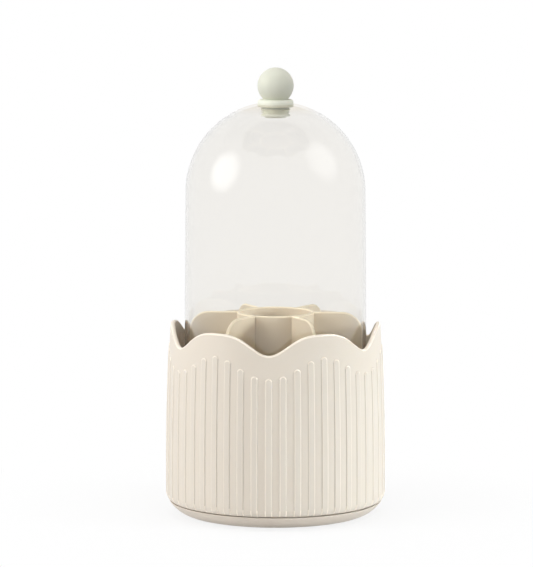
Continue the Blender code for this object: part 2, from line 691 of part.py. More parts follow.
def dome_cover(parent, finish):
    outside = dome_outline(DOME_RADIUS, CROWN_TOP)
    inside = dome_outline(DOME_RADIUS - DOME_WALL, CROWN_UNDERSIDE)
    inner_foot = DOME_FOOT_RADIUS - DOME_WALL
    foot = [(DOME_FOOT_RADIUS, DOME_FOOT), (inner_foot, DOME_FOOT)]
    outline = [*outside, *foot, *reversed(inside)]
    placed("dome_cover", turned("dome_cover", outline, LARGE_STEPS), parent, finish)


def knob_ball(parent, finish):
    last = math.pi - math.asin(KNOB_FLAT / KNOB_RADIUS)
    angles = [last * k / KNOB_BANDS for k in range(KNOB_BANDS + 1)]
    ball = [
        (KNOB_RADIUS * math.sin(a), KNOB_HEIGHT + KNOB_RADIUS * math.cos(a)) for a in angles
    ]
    hole_end = KNOB_SCREW_TIP + SCREW_END_ROOM
    outline = [*ball, (KNOB_SCREW_HOLE, KNOB_SEAT), (KNOB_SCREW_HOLE, hole_end), (0, hole_end)]
    placed("knob_ball", turned("knob_ball", outline, SMALL_STEPS), parent, finish)


def knob_collar(parent, finish):
    """The disc under the ball. Its neck stands in the dome's hole and centres the knob."""
    underside = CROWN_TOP + FIT_GAP
    turns = [math.pi / 2 * k / COLLAR_BANDS for k in range(COLLAR_BANDS + 1)]
    flat = COLLAR_RADIUS - COLLAR_ROUND
    level = COLLAR_TOP - COLLAR_ROUND
    round_edge = [
        (flat + COLLAR_ROUND * math.sin(a), level + COLLAR_ROUND * math.cos(a)) for a in turns
    ]
    outline = [
        (KNOB_SCREW_HOLE, COLLAR_TOP), *round_edge, (COLLAR_RADIUS, underside),
        (NECK_RADIUS, underside), (NECK_RADIUS, CROWN_UNDERSIDE),
        (KNOB_SCREW_HOLE, CROWN_UNDERSIDE),
    ]
    placed("knob_collar", turned("knob_collar", outline, SMALL_STEPS), parent, finish)


def knob_gasket(parent, finish):
    radius = NUT_RADIUS - GASKET_INSET
    low = GASKET_TOP - GASKET_THICKNESS
    outline = [
        (KNOB_SCREW_HOLE, GASKET_TOP), (radius, GASKET_TOP), (radius, low), (KNOB_SCREW_HOLE, low),
    ]
    placed("knob_gasket", turned("knob_gasket", outline, SMALL_STEPS), parent, finish)


def knob_nut(parent, finish):
    """The plug under the dome: it has ring grooves and a narrower tip."""
    height = NUT_TOP - NUT_END

    def side(level):
        return NUT_RADIUS - NUT_TAPER * (NUT_TOP - level) / height

    grooves = []
    for share in NUT_GROOVE_SHARES:
        high = NUT_TOP - share * height
        low = high - NUT_GROOVE_WIDTH
        grooves += [
            (side(high), high), (side(high) - NUT_GROOVE_DEPTH, high),
            (side(low) - NUT_GROOVE_DEPTH, low), (side(low), low),
        ]
    tip_top = NUT_END + NUT_TIP_HEIGHT
    tip_radius = NUT_RADIUS - NUT_TIP_INSET
    counterbore = KNOB_SCREW_HEAD + FIT_GAP
    head_seat = KNOB_HEAD_TOP + FIT_GAP
    outline = [
        (KNOB_SCREW_HOLE, NUT_TOP), (NUT_RADIUS, NUT_TOP), *grooves, (side(tip_top), tip_top),
        (tip_radius, tip_top), (tip_radius, NUT_END), (counterbore, NUT_END),
        (counterbore, head_seat), (KNOB_SCREW_HOLE, head_seat),
    ]
    placed("knob_nut", turned("knob_nut", outline, SMALL_STEPS), parent, finish)


def knob_screw(parent, finish):
    mesh = screw_mesh(
        "knob_screw", KNOB_SCREW_HEAD, KNOB_SCREW_HEAD_HEIGHT, KNOB_SCREW_SHANK,
        KNOB_SCREW_TIP - KNOB_HEAD_TOP, SCREW_STEPS,
    )
    at = (0, 0, KNOB_HEAD_TOP)
    screw = placed("knob_screw", mesh, parent, finish, at)
    combine(screw, recess_cutter("knob_recess", KNOB_SCREW_HEAD_HEIGHT, at), "DIFFERENCE")


def build():
    for obj in list(bpy.data.objects):
        bpy.data.objects.remove(obj, do_unlink=True)

    cream = material("cream_plastic", (0.71, 0.62, 0.53), 0.42)
    base_cream = material("base_plastic", (0.66, 0.58, 0.49), 0.45)
    clear = material("clear_plastic", (0.95, 0.94, 0.92), 0.05, transmission=1.0)
    celery = material("knob_plastic", (0.76, 0.76, 0.62), 0.45)
    silicone = material("silicone", (0.80, 0.80, 0.76), 0.70)
    rubber = material("foot_rubber", (0.25, 0.24, 0.23), 0.85)
    nylon = material("nylon", (0.85, 0.84, 0.80), 0.50)
    steel = material("steel", (0.60, 0.60, 0.60), 0.25, metallic=1.0)

    base = frame_empty("base_frame", 0)
    cup = frame_empty("cup_spin_axis", BALL_HEIGHT, base)
    cage = frame_empty("cage_spin_axis", BALL_HEIGHT, base)
    cover = frame_empty("cover_lift_axis", DOME_FOOT, cup)

    base_dish(base, base_cream)
    feet(base, rubber)
    pivot_bush(base, nylon)
    bearing(cage, nylon, steel)
    cup_floor(cup, cream)
    floor_screws(cup, steel)
    pivot_washer(cup, steel)
    pivot_screw(cup, steel)
    outer_shell(cup, cream)
    divider(cup, cream)
    cover_seat(cup, cream)
    dome_cover(cover, clear)
    knob_ball(cover, celery)
    knob_collar(cover, celery)
    knob_gasket(cover, silicone)
    knob_nut(cover, celery)
    knob_screw(cover, steel)


build()
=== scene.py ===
"""Looks of the rotating makeup brush holder.

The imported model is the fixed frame. Each operator makes one piece, or one group of like pieces, at
the frame's sizes, and gives it its finish. Metres, +Z up, a valley of the petal rim facing -Y.
"""

import json
import math

import bmesh
import bpy
from bpy.props import FloatProperty, FloatVectorProperty, IntProperty, PointerProperty
from mathutils import Matrix, Vector


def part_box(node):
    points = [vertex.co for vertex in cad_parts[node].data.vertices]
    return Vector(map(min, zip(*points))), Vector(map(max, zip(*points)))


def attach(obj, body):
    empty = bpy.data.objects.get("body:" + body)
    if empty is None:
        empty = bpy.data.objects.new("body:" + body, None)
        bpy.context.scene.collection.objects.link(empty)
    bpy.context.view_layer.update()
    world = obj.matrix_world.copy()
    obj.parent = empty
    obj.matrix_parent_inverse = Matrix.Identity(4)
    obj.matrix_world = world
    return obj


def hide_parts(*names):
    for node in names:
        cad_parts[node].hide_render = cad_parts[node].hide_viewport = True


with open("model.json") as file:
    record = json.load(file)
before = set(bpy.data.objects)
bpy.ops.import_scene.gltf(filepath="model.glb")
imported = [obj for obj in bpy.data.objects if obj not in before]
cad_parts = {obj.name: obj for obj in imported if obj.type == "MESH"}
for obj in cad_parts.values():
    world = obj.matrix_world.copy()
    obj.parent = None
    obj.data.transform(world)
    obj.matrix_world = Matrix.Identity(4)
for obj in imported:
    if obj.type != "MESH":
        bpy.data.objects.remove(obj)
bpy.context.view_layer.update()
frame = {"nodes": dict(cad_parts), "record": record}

bl_info = {
    "name": "Rotating makeup brush holder",
    "version": (1, 0, 0),
    "blender": (4, 5, 0),
    "location": "View3D > Sidebar > Brush Holder",
    "description": "Builds the ribbed cup, its turntable, the divider and the clear domed cover",
    "category": "Object",
}

# Facets round one turn
WALL_STEPS = 384  # of the ribbed wall
FINE_STEPS = 192  # of the other large pieces
SMALL_STEPS = 72

# Facets along a curve or a side
ARC_STEPS = 5  # a rounded corner
BEND_STEPS = 16  # a wide bend, such as a rib's tip
WALL_RISE_STEPS = 16
WALL_FOOT_STEPS = 6
BASE_SKIRT_STEPS = 24
RIB_STEPS = 20
RIB_EDGE_STEPS = 8
RIB_SPACING = 1.6  # above 1 puts a rib's facets closer together at its foot
GROOVE_STEPS = 12
DOME_STEPS = 48
KNOB_BALL_STEPS = 40
BEARING_BALL_STEPS = (32, 20)

# Clearances and limits
MERGE_DISTANCE = 0.000001
SHARP_ANGLE = math.radians(40)
BEND_ANGLE = math.radians(6)  # above which faces meet in a rounded edge
EDGE_WIDTH = 0.0005  # of the widest face in a rounded edge
OVERRUN = 0.002  # how far a cutter runs past what it cuts
HAIRLINE = 0.00004  # left between pieces that are pressed together

# Softness of the corner where a rise reaches its full height
RIB_FADE_BEND = 0.5
FLOOR_FADE_BEND = 0.2

# Unevenness of the finishes, mostly as grains to a metre
CLOUDS = 24.0
HAZE = 60.0
WEAR = 500.0
SPECKS = 1400.0
SPECK_LEVEL = 0.62  # of that noise, above which a speck shows
SPECK_GAIN = 1.5  # how fast it darkens above that

# Where rays pass straight through the clear crown, as (nowhere, everywhere)
CROWN_RADII = (0.030, 0.018)
CROWN_SLANTS = (0.25, 0.45)  # from 0, seen face-on, to 1, seen along the wall
KNOB_FOOT_RADII = (0.0130, 0.0120)
LEAVING_EXTRA = 0.012  # how much wider the crown's zone is for rays that leave the wall
LEVEL = (1.0, 1.0, 0.0)  # leaves a place's height out of its distance from the axis
STRAIGHT_TINTS = (1.06, 1.025)  # shares of the tint, for light from the lamps and for the rest

# The stage
CUP_MIDDLE = (0, 0, 0.14)
CUP_FOOT = (0, 0, 0.05)
WHITE = (1.0, 1.0, 1.0, 1.0)
CARD_GREY = (0.86, 0.86, 0.86, 1.0)
FLOOR_HALF = 20.0
LEFT_GLOW_SIDE = (-0.87, -0.27, 0.37)
RIGHT_GLOW_SIDE = (0.81, -0.12, 0.55)
LEFT_BOX = {"tint": (0.96, 0.98, 1.0), "size": (0.8, 0.8), "place": (-1.20, -0.62, 0.62)}
RIGHT_BOX = {"tint": (0.88, 0.95, 1.0), "size": (0.35, 0.2), "place": (1.25, -0.28, 0.30)}
TOP_BOX = {"tint": (1.0, 1.0, 1.0), "size": (1.0, 1.0), "place": (0.0, -0.15, 1.6)}
LOST_IN_GLASS = 0.31  # share of the surroundings' light that the inside does without

# Places that the frame gives
BASE_LOW, BASE_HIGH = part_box("base_dish")
SHELL_LOW, SHELL_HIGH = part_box("outer_shell")
DIVIDER_LOW, DIVIDER_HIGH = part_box("divider")
SEAT_LOW, SEAT_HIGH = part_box("cover_seat")
DOME_LOW, DOME_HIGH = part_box("dome_cover")
BALL_LOW, BALL_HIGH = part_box("knob_ball")
COLLAR_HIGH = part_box("knob_collar")[1]
GASKET_LOW, GASKET_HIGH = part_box("knob_gasket")
NUT_LOW, NUT_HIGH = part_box("knob_nut")


def length(name, default, description):
    """A size in metres that a user may change."""
    return FloatProperty(
        name=name, description=description, default=default, min=0.0, precision=5, unit="LENGTH",
    )


def amount(name, default, description, **options):
    """A strength, a share, or an exponent."""
    return FloatProperty(name=name, description=description, default=default, **options)


def angle(name, degrees, description):
    return amount(name, math.radians(degrees), description, subtype="ANGLE")


def count(name, default, description, least):
    return IntProperty(name=name, description=description, default=default, min=least)


def colour(name, default, description):
    return FloatVectorProperty(
        name=name, description=description, default=default, size=3, min=0.0, max=1.0,
        subtype="COLOR",
    )


class ShellSizes(bpy.types.PropertyGroup):
    petals: count("Petals", 6, "Petals round the rim", 3)
    petal_depth: length("Petal depth", 0.0124, "From the petals' tops down to the valleys")
    petal_roundness: amount("Petal roundness", 1.5, "Above 1 widens the petals", min=0.5)
    wall: length("Wall", 0.0027, "Thickness of the wall")
    rim_round: length("Rim rounding", 0.0011, "Radius of the rim's edges")
    taper_start: length("Taper start", 0.0300, "Height from which the wall draws in")
    rim_taper: length("Rim taper", 0.0027, "How much it draws in up to the petals' tops")
    skirt_top: length("Skirt top", 0.0140, "Where the rounded bottom edge ends in the wall")
    skirt_depth: length("Skirt depth", 0.0139, "How far that edge draws in at the ground")
    skirt_roundness: amount("Skirt roundness", 1.6, "1 is a chamfer and 2 an ellipse", min=1.0)
    ribs_per_petal: count("Ribs per petal", 8, "Ribs under each petal", 1)
    rib_width: length("Rib width", 0.0041, "Width of a rib at half its relief")
    relief: length("Rib relief", 0.0006, "How far a rib stands out of the wall")
    rib_edge: length("Rib edge", 0.0009, "Width of the soft step at a rib's edge")
    rib_root: length("Rib root", 0.0004, "How deep a rib is rooted in the wall")
    rib_fade: length("Rib fade", 0.0010, "Height over which a rib rises from the wall's foot")
    rib_sink: length("Rib sink", 0.0003, "How deep its foot starts in the wall")
    rib_drop: length("Rib drop", 0.0143, "From a valley down to the tip of the rib under it")
    rib_rise: length("Rib rise", 0.0128, "How much higher the ribs under the petals reach")
    rib_fullness: amount("Rib fullness", 1.1, "Above 1 keeps more ribs low", min=0.5)
    ledge_top: length("Ledge", 0.0790, "Height of the ledge under the cover's seat")
    ledge_inner: length("Ledge radius", 0.0615, "Inner radius of that ledge")
    ledge_edge: length("Ledge edge", 0.0012, "Height of the ledge's upright edge")
    foot_land: length("Foot land", 0.0070, "Height of the thick foot of the wall")
    bosses: count("Bosses", 3, "Screw bosses in the shell", 2)
    boss_circle: length("Boss circle", 0.0595, "Radius of the circle of screw bosses")
    boss_radius: length("Boss radius", 0.0034, "Radius of a screw boss")
    boss_foot: length("Boss foot", 0.0127, "Height of a boss's underside")
    boss_height: length("Boss height", 0.0135, "Height of a screw boss")
    boss_round: length("Boss rounding", 0.0006, "Rounding of a boss's top")


class BaseSizes(bpy.types.PropertyGroup):
    plate: length("Base plate", 0.0025, "Thickness of the base's plate")
    wall: length("Base wall", 0.0025, "Thickness of the base's skirt")
    edge: length("Base edge", 0.0005, "Rounding of the base's edges")
    hub_hole: length("Hub hole", 0.0076, "Radius of the hole for the bush")
    hub_low: length("Hub underside", 0.0042, "Height of the hub's underside")
    hub_high: length("Hub top", 0.0072, "Height of the hub's top")
    counterbore: length("Counterbore", 0.0100, "Radius of the counterbore under the hub")
    hub_sleeve: length("Hub sleeve", 0.0025, "Wall round the counterbore")
    track: length("Ball track", 0.0056, "Height of the ball track's face")
    track_width: length("Track width", 0.0100, "Width of the ball track's foot")
    track_slope: length("Track slope", 0.0010, "How far the track's sides lean in")
    groove: length("Groove radius", 0.0028, "Radius of the ball groove's arc")
    balls: count("Balls", 8, "Balls in the bearing", 3)
    ball_circle: length("Ball circle", 0.0400, "Radius of the circle of balls")
    ball_height: length("Ball height", 0.0069, "Height of the balls' middles")
    ball_radius: length("Ball radius", 0.0025, "Radius of a ball")
    feet: count("Feet", 4, "Rubber feet", 3)
    foot_circle: length("Foot circle", 0.0480, "Radius of the circle of feet")
    foot_radius: length("Foot radius", 0.0050, "Radius of a foot")
    foot_height: length("Foot height", 0.0013, "Thickness of a foot")
    foot_round: length("Foot rounding", 0.0003, "Rounding of a foot's edges")
    foot_gap: length("Foot gap", 0.0003, "Clearance of a foot in its pocket")


class DividerSizes(bpy.types.PropertyGroup):
    fins: count("Fins", 6, "Fins round the tube", 2)
    tube_radius: length("Tube radius", 0.02445, "Outer radius of the middle tube")
    tube_wall: length("Tube wall", 0.0018, "Thickness of the tube's wall")
    thickness: length("Fin thickness", 0.0020, "Thickness of a fin")
    corner: length("Fin corner", 0.0130, "Radius of a fin's upper outer corner")
    edge: length("Fin edge", 0.0009, "Rounding of the fins' and the tube's edges")


class CoverSizes(bpy.types.PropertyGroup):
    wall: length("Dome wall", 0.0017, "Thickness of the clear wall")
    equator: length("Dome equator", 0.2057, "Height where the dome begins")
    seat: length("Crown seat", 0.0134, "Radius of the flat seat on the dome's crown")
    foot_round: length("Dome foot rounding", 0.0006, "Rounding of the cover's foot")
    seat_lip: length("Seat lip", 0.0583, "Inner radius of the seat's lip")
    seat_lip_wall: length("Seat lip wall", 0.0018, "Thickness of the seat's lip")
    seat_room: length("Seat room", 0.0009, "From the divider's fins to the seat")
    seat_thickness: length("Seat thickness", 0.0024, "Thickness of the seat's ring")
    seat_edge: length("Seat edge", 0.0004, "Rounding of the seat's edges")


class KnobSizes(bpy.types.PropertyGroup):
    flat: length("Knob flat", 0.0080, "Radius of the flat that the ball stands on")
    hole: length("Knob hole", 0.0023, "Radius of the holes for the screw")
    hole_depth: length("Knob hole depth", 0.0067, "Depth of the hole in the ball")
    collar_round: length("Collar rounding", 0.0020, "Rounding of the collar's upper edge")
    collar_edge: length("Collar edge", 0.0006, "Rounding of its lower edge")
    nut_taper: length("Plug taper", 0.0003, "How much the plug draws in downwards")
    nut_edge: length("Plug edge", 0.0003, "Rounding of the plug's edges")
    groove_depth: length("Groove depth", 0.0011, "Depth of the plug's ring grooves")
    groove_width: length("Groove width", 0.0012, "Width of the plug's ring grooves")
    upper_groove: amount("Upper groove", 0.12, "Its place, as a share of the way down the plug")
    lower_groove: amount("Lower groove", 0.38, "Its place, as a share of the way down the plug")
    tip_inset: length("Tip inset", 0.0027, "How much narrower the plug's tip is")
    tip_height: length("Tip height", 0.0010, "Height of the plug's tip")
    head: length("Screw head", 0.0036, "Radius of the knob screw's head")
    head_height: length("Screw head height", 0.0022, "Height of the knob screw's head")
    shank: length("Screw shank", 0.0020, "Radius of the knob screw's shank")
    gap: length("Fit gap", 0.0003, "Clearance between the fitted pieces")


class ScrewSizes(bpy.types.PropertyGroup):
    shank: length("Shank", 0.0015, "Radius of the base and floor screws' shanks")
    head: length("Head", 0.0030, "Radius of their heads")
    head_height: length("Head height", 0.0015, "Height of their heads")
    tip: length("Tip", 0.0010, "Length of a screw's tapered tip")
    recess_reach: length("Recess reach", 0.0016, "Reach of the cross recess")
    recess_width: length("Recess width", 0.0008, "Width of the cross recess")
    recess_depth: length("Recess depth", 0.0008, "Depth of the cross recess")
    washer_edge: length("Washer edge", 0.0002, "Rounding of the washer's edges")


class Finishes(bpy.types.PropertyGroup):
    cream: colour("Cream", (0.715, 0.640, 0.545), "Cup and seat")
    # Painted light: the divider is the cup's cream plastic; this lighter, warmer copy of the cream
    # stands in for the light and warm bounce light inside the cup.
    divider: colour("Divider", (0.80, 0.69, 0.53), "Divider")
    base: colour("Base", (0.675, 0.600, 0.515), "Turntable base")
    celery: colour("Celery", (0.865, 0.865, 0.74), "Collar and plug")
    # Painted shade: the ball is the same celery plastic as the collar; this darker copy stands in
    # for the shade on the ball.
    ball: colour("Ball", (0.70, 0.70, 0.59), "Ball of the knob")
    clear: colour("Clear", (0.935, 0.925, 0.905), "Tint of one wall of the clear cover")
    silicone: colour("Silicone", (0.72, 0.72, 0.68), "Washer under the dome")
    rubber: colour("Rubber", (0.25, 0.24, 0.23), "Feet")
    nylon: colour("Nylon", (0.85, 0.84, 0.80), "Bush and ball cage")
    steel: colour("Steel", (0.62, 0.62, 0.61), "Balls, screws and washer")
    # Painted highlight: the cup's and the divider's rounded edges get a lighter colour, standing in
    # for the light they catch.
    edge_light: amount("Edge light", 1.28, "How much lighter the cup's rounded edges are", min=0.0)


class StageSettings(bpy.types.PropertyGroup):
    left_power: amount("Left lamp", 11.3, "Power of the left softbox", unit="POWER")
    right_power: amount("Right lamp", 0.26, "Power of the right softbox", unit="POWER")
    right_spread: angle("Right spread", 22.0, "Beam of the right softbox, which stays on the cup")
    top_power: amount("Top lamp", 6.4, "Power of the top softbox", unit="POWER")
    fill: amount("Fill", 0.385, "Strength of the even light all round", min=0.0)
    lean: amount("Lean", 0.6, "How much more of it comes from above", min=0.0, max=1.0)
    left_glow: amount("Left highlight", 2.0, "Soft light that gloss shows on the left", min=0.0)
    right_glow: amount("Right highlight", 1.0, "The one on the right", min=0.0)
    glow_size: angle("Highlight size", 26.0, "Half angle of the soft lights")
    floor_white: amount(
        "Floor white", 0.74, "Share of plain white in what the floor shows by the foot",
        min=0.0, max=1.0, subtype="FACTOR",
    )
    floor_reach: length("Floor reach", 0.20, "Distance at which the floor is all white")
    camera_azimuth: angle("Camera azimuth", 3.6, "Turn of the camera from the front")
    camera_distance: length("Camera distance", 2.200, "Level distance from the axis")
    camera_height: length("Camera height", 0.42146, "Height over the ground")
    aim_height: length("Aim height", 0.14705, "Height that the camera looks at")
    aim_side: amount("Aim side", -0.00572, "How far right of the axis it looks", unit="LENGTH")
    lens: amount("Lens", 221.87, "Focal length in mm", min=1.0)


def arithmetic(operation, swapped=False):
    """A method of Wire that adds a Math node. Swapped, the wire comes second."""

    def method(self, other):
        return self.graph.math(operation, *((other, self) if swapped else (self, other)))

    return method


class Wire:
    """An output of a node. Arithmetic on it adds Math nodes, and an index picks another output of
    the same node."""

    def __init__(self, graph, socket):
        self.graph = graph
        self.socket = socket

    def __getitem__(self, output):
        return Wire(self.graph, self.socket.node.outputs[output])

    __add__, __radd__ = arithmetic("ADD"), arithmetic("ADD", swapped=True)
    __sub__, __rsub__ = arithmetic("SUBTRACT"), arithmetic("SUBTRACT", swapped=True)
    __mul__, __rmul__ = arithmetic("MULTIPLY"), arithmetic("MULTIPLY", swapped=True)
    __truediv__, __rtruediv__ = arithmetic("DIVIDE"), arithmetic("DIVIDE", swapped=True)
    __pow__ = arithmetic("POWER")


class Graph:
    """A node tree, with one method that adds any node to it."""

    def __init__(self, tree):
        self.tree = tree

    def node(self, kind, inputs=None, **settings):
        """Adds a node, its settings first and then its sockets' values or links. Returns its first
        output, if it has one."""
        made = self.tree.nodes.new(kind)
        for name, value in settings.items():
            setattr(made, name, value)
        for key, value in (inputs or {}).items():
            if isinstance(value, Wire):
                self.tree.links.new(value.socket, made.inputs[key])
            else:
                made.inputs[key].default_value = value
        return Wire(self, made.outputs[0]) if made.outputs else None

    def math(self, operation, *values):
        """The outcome of a Math node on numbers or wires."""
        return self.node("ShaderNodeMath", dict(enumerate(values)), operation=operation)

    def noise(self, place, scale, detail, roughness=0.5):
        """Blender's noise, from 0 to 1, at so many grains to a metre."""
        inputs = {"Vector": place, "Scale": scale, "Detail": detail, "Roughness": roughness}
        return self.node("ShaderNodeTexNoise", inputs)

    def ramp(self, value, low, high):
        """A soft rise from 0 to 1 between two levels of a value."""
        inputs = {0: value, 1: low, 2: high}
        return self.node("ShaderNodeMapRange", inputs, interpolation_type="SMOOTHSTEP")

    def blend(self, factor, first, second):
        """A colour between two others, or between two links."""
        first, second = [
            value if isinstance(value, Wire) else (*value, 1.0) for value in (first, second)
        ]
        inputs = {0: factor, 6: first, 7: second}
        return self.node("ShaderNodeMix", inputs, data_type="RGBA")[2]

    def mix(self, factor, first, second):
        """A surface between two others."""
        return self.node("ShaderNodeMixShader", {0: factor, 1: first, 2: second})


def new_material(name, surface, *values, **options):
    """A material with the surface that a function adds to its graph."""
    made = bpy.data.materials.new(name)
    made.use_nodes = True
    made.node_tree.nodes.clear()
    graph = Graph(made.node_tree)
    place = graph.node("ShaderNodeTexCoord")["Object"]
    graph.node("ShaderNodeOutputMaterial", {"Surface": surface(graph, place, *values, **options)})
    return made


def shaded(base, share):
    """A colour scaled by a share, kept below white."""
    return tuple(min(value * share, 1.0) for value in base)


def moulded_plastic(graph, place, base, roughness, grain=2600.0, glow=0.0, edge=1.0):
    """Satin moulded plastic: faint clouding, specks of pigment, uneven gloss, a fine grain, and a
    painted highlight: rounded edges get a colour so many times as light."""
    cloud = graph.noise(place, CLOUDS, detail=3.0)
    speck = graph.noise(place, SPECKS, detail=1.0)
    grains = graph.noise(place, grain, detail=2.0, roughness=0.6)
    clouded = graph.blend(cloud, shaded(base, 0.975), shaded(base, 1.025))
    flecked = graph.blend((speck - SPECK_LEVEL) * SPECK_GAIN, clouded, shaded(base, 0.90))
    rounded = graph.node("ShaderNodeAttribute", attribute_name="edge")["Fac"]
    bump = {"Strength": 0.35, "Distance": 0.00002, "Height": grains}
    return graph.node(
        "ShaderNodeBsdfPrincipled",
        {
            # Painted highlight: where the attribute edge is 1, the colour is lightened by the share
            # edge.
            "Base Color": graph.blend(rounded, flecked, shaded(base, edge)),
            "Roughness": roughness - 0.04 + cloud * 0.05 + grains * 0.05,
            "Subsurface Weight": glow,
            "Subsurface Radius": (0.004, 0.003, 0.002),
            "Subsurface Scale": 1.0,
            "Normal": graph.node("ShaderNodeBump", bump),
        },
    )


def clear_plastic(graph, place, tint):
    """Clear polished plastic with a faint haze. Rays from the lamps pass straight through, so that
    they light what stands inside. So do rays beside the knob's foot and most that meet the crown
    at a slant, and a ray that entered the crown straight also leaves it straight."""
    haze = graph.noise(place, HAZE, detail=4.0)
    slant = graph.node("ShaderNodeLayerWeight", {"Blend": 0.5})["Facing"]
    glass = graph.node(
        "ShaderNodeBsdfPrincipled",
        {
            "Base Color": graph.blend(slant**3, tint, shaded(tint, 0.92)),
            "Roughness": 0.015 + haze * 0.02,
            "IOR": 1.49,
            "Transmission Weight": 1.0,
        },
    )
    lit, thin = [
        graph.node("ShaderNodeBsdfTransparent", {"Color": (*shaded(tint, share), 1.0)})
        for share in STRAIGHT_TINTS
    ]
    level = graph.node("ShaderNodeVectorMath", {0: place, 1: LEVEL}, operation="MULTIPLY")
    radius = graph.node("ShaderNodeVectorMath", {0: level}, operation="LENGTH")["Value"]
    leaving = graph.node("ShaderNodeNewGeometry")["Backfacing"]
    crown = graph.ramp(radius - leaving * LEAVING_EXTRA, *CROWN_RADII)
    crown = crown * graph.ramp(slant, *CROWN_SLANTS)
    straight = graph.math("MAXIMUM", crown, graph.ramp(radius, *KNOB_FOOT_RADII))
    lamps = graph.node("ShaderNodeLightPath")["Is Shadow Ray"]
    return graph.mix(lamps, graph.mix(straight, glass, thin), lit)


def plated_steel(graph, place, base):
    """Bright plated steel with a fine unevenness in its gloss."""
    worn = graph.noise(place, WEAR, detail=3.0)
    return graph.node(
        "ShaderNodeBsdfPrincipled",
        {
            "Base Color": graph.blend(worn, shaded(base, 0.92), shaded(base, 1.05)),
            "Metallic": 1.0,
            "Roughness": 0.22 + worn * 0.14,
        },
    )


def soft_rubber(graph, place, base, roughness, grain):
    """Rubber or silicone: matt, with a fine uneven skin."""
    grains = graph.noise(place, grain, detail=3.0, roughness=0.6)
    bump = {"Strength": 0.4, "Distance": 0.00004, "Height": grains}
    return graph.node(
        "ShaderNodeBsdfPrincipled",
        {
            "Base Color": graph.blend(grains, shaded(base, 0.88), shaded(base, 1.08)),
            "Roughness": roughness - 0.06 + grains * 0.12,
            "Normal": graph.node("ShaderNodeBump", bump),
        },
    )


def finish_of(name):
    """A finish by its name, made on first use."""
    if name in bpy.data.materials:
        return bpy.data.materials[name]
    shades = bpy.context.scene.holder_finishes
    # light is the share by which the painted edge highlight lightens rounded edges.
    light = shades.edge_light
    surface, shade, options = {
        "cream_finish": (
            moulded_plastic, shades.cream, {"roughness": 0.42, "glow": 0.08, "edge": light}
        ),
        # Painted light: the divider's lighter, warmer copy of the cream.
        "divider_painted_light_finish": (
            moulded_plastic, shades.divider, {"roughness": 0.44, "glow": 0.08, "edge": light}
        ),
        "base_finish": (moulded_plastic, shades.base, {"roughness": 0.46}),
        "knob_finish": (moulded_plastic, shades.celery, {"roughness": 0.45, "glow": 0.05}),
        # Painted shade: the ball's darker copy of the celery.
        "ball_painted_shade_finish": (moulded_plastic, shades.ball, {"roughness": 0.45, "glow": 0.05}),
        "nylon_finish": (moulded_plastic, shades.nylon, {"roughness": 0.50, "grain": 1800.0}),
        "clear_finish": (clear_plastic, shades.clear, {}),
        "steel_finish": (plated_steel, shades.steel, {}),
        "silicone_finish": (soft_rubber, shades.silicone, {"roughness": 0.55, "grain": 1500.0}),
        "rubber_finish": (soft_rubber, shades.rubber, {"roughness": 0.82, "grain": 1100.0}),
    }[name]
    return new_material(name, surface, shade, **options)


FINISH_OF_SLOT = {
    "cream_plastic": "cream_finish",
    "base_plastic": "base_finish",
    "clear_plastic": "clear_finish",
    "knob_plastic": "knob_finish",
    "silicone": "silicone_finish",
    "foot_rubber": "rubber_finish",
    "nylon": "nylon_finish",
    "steel": "steel_finish",
}


def dress(mesh, finish):
    mesh.materials.clear()
    mesh.materials.append(finish_of(finish))


def raw_mesh(name, bm):
    mesh = bpy.data.meshes.new(name)
    bm.to_mesh(mesh)
    bm.free()
    return mesh


def clean_mesh(name, bm):
    """A mesh with its doubles merged and its faces outwards, smooth except at its edges."""
    bmesh.ops.remove_doubles(bm, verts=bm.verts, dist=MERGE_DISTANCE)
    bmesh.ops.recalc_face_normals(bm, faces=bm.faces)
    mesh = raw_mesh(name, bm)
    mesh.shade_smooth()
    mesh.set_sharp_from_angle(angle=SHARP_ANGLE)
    return mesh


def joined(name, *meshes):
    """One clean mesh of closed bodies."""
    bm = bmesh.new()
    for mesh in meshes:
        bm.from_mesh(mesh)
    return clean_mesh(name, bm)


def placed(name, data):
    """A new object in the scene, at the origin."""
    obj = bpy.data.objects.new(name, data)
    bpy.context.scene.collection.objects.link(obj)
    return obj


def dropped(*objs):
    for obj in objs:
        bpy.data.objects.remove(obj, do_unlink=True)


def evaluated(obj):
    """A plain mesh of an object with its modifiers applied."""
    graph = bpy.context.evaluated_depsgraph_get()
    mesh = bpy.data.meshes.new_from_object(obj.evaluated_get(graph), depsgraph=graph)
    return joined(obj.name, mesh)


def mark_edges(mesh):
    """Gives each face the attribute edge: 1 on an outward rounding, 0 elsewhere. Finishes paint a
    highlight where it is 1.
    """
    bm = bmesh.new()
    bm.from_mesh(mesh)
    layer = bm.faces.layers.float.new("edge")
    bends = {
        vert for edge in bm.edges if edge.calc_face_angle_signed(0) > BEND_ANGLE
        for vert in edge.verts
    }
    for face in bm.faces:
        width = face.calc_area() / max(edge.calc_length() for edge in face.edges)
        face[layer] = width < EDGE_WIDTH and bends.issuperset(face.verts)
    bm.to_mesh(mesh)
    bm.free()


def make_piece(name, mesh, slot, body, *nodes, finish=None):
    """A finished piece that rides on a body and stands for CAD nodes. Its normals follow its
    larger faces, so that flat faces stay flat beside rounded edges."""
    mark_edges(mesh)
    obj = placed(name, mesh)
    dress(mesh, finish or FINISH_OF_SLOT[slot])
    normals = obj.modifiers.new("face_normals", "WEIGHTED_NORMAL")
    normals.keep_sharp = True
    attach(obj, body)
    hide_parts(*nodes)


def turned_piece(name, corners, slot, body, node, steps=SMALL_STEPS, finish=None):
    """A finished piece that is turned about Z from an outline's corners."""
    make_piece(name, lathed(name, softened(corners), steps), slot, body, node, finish=finish)


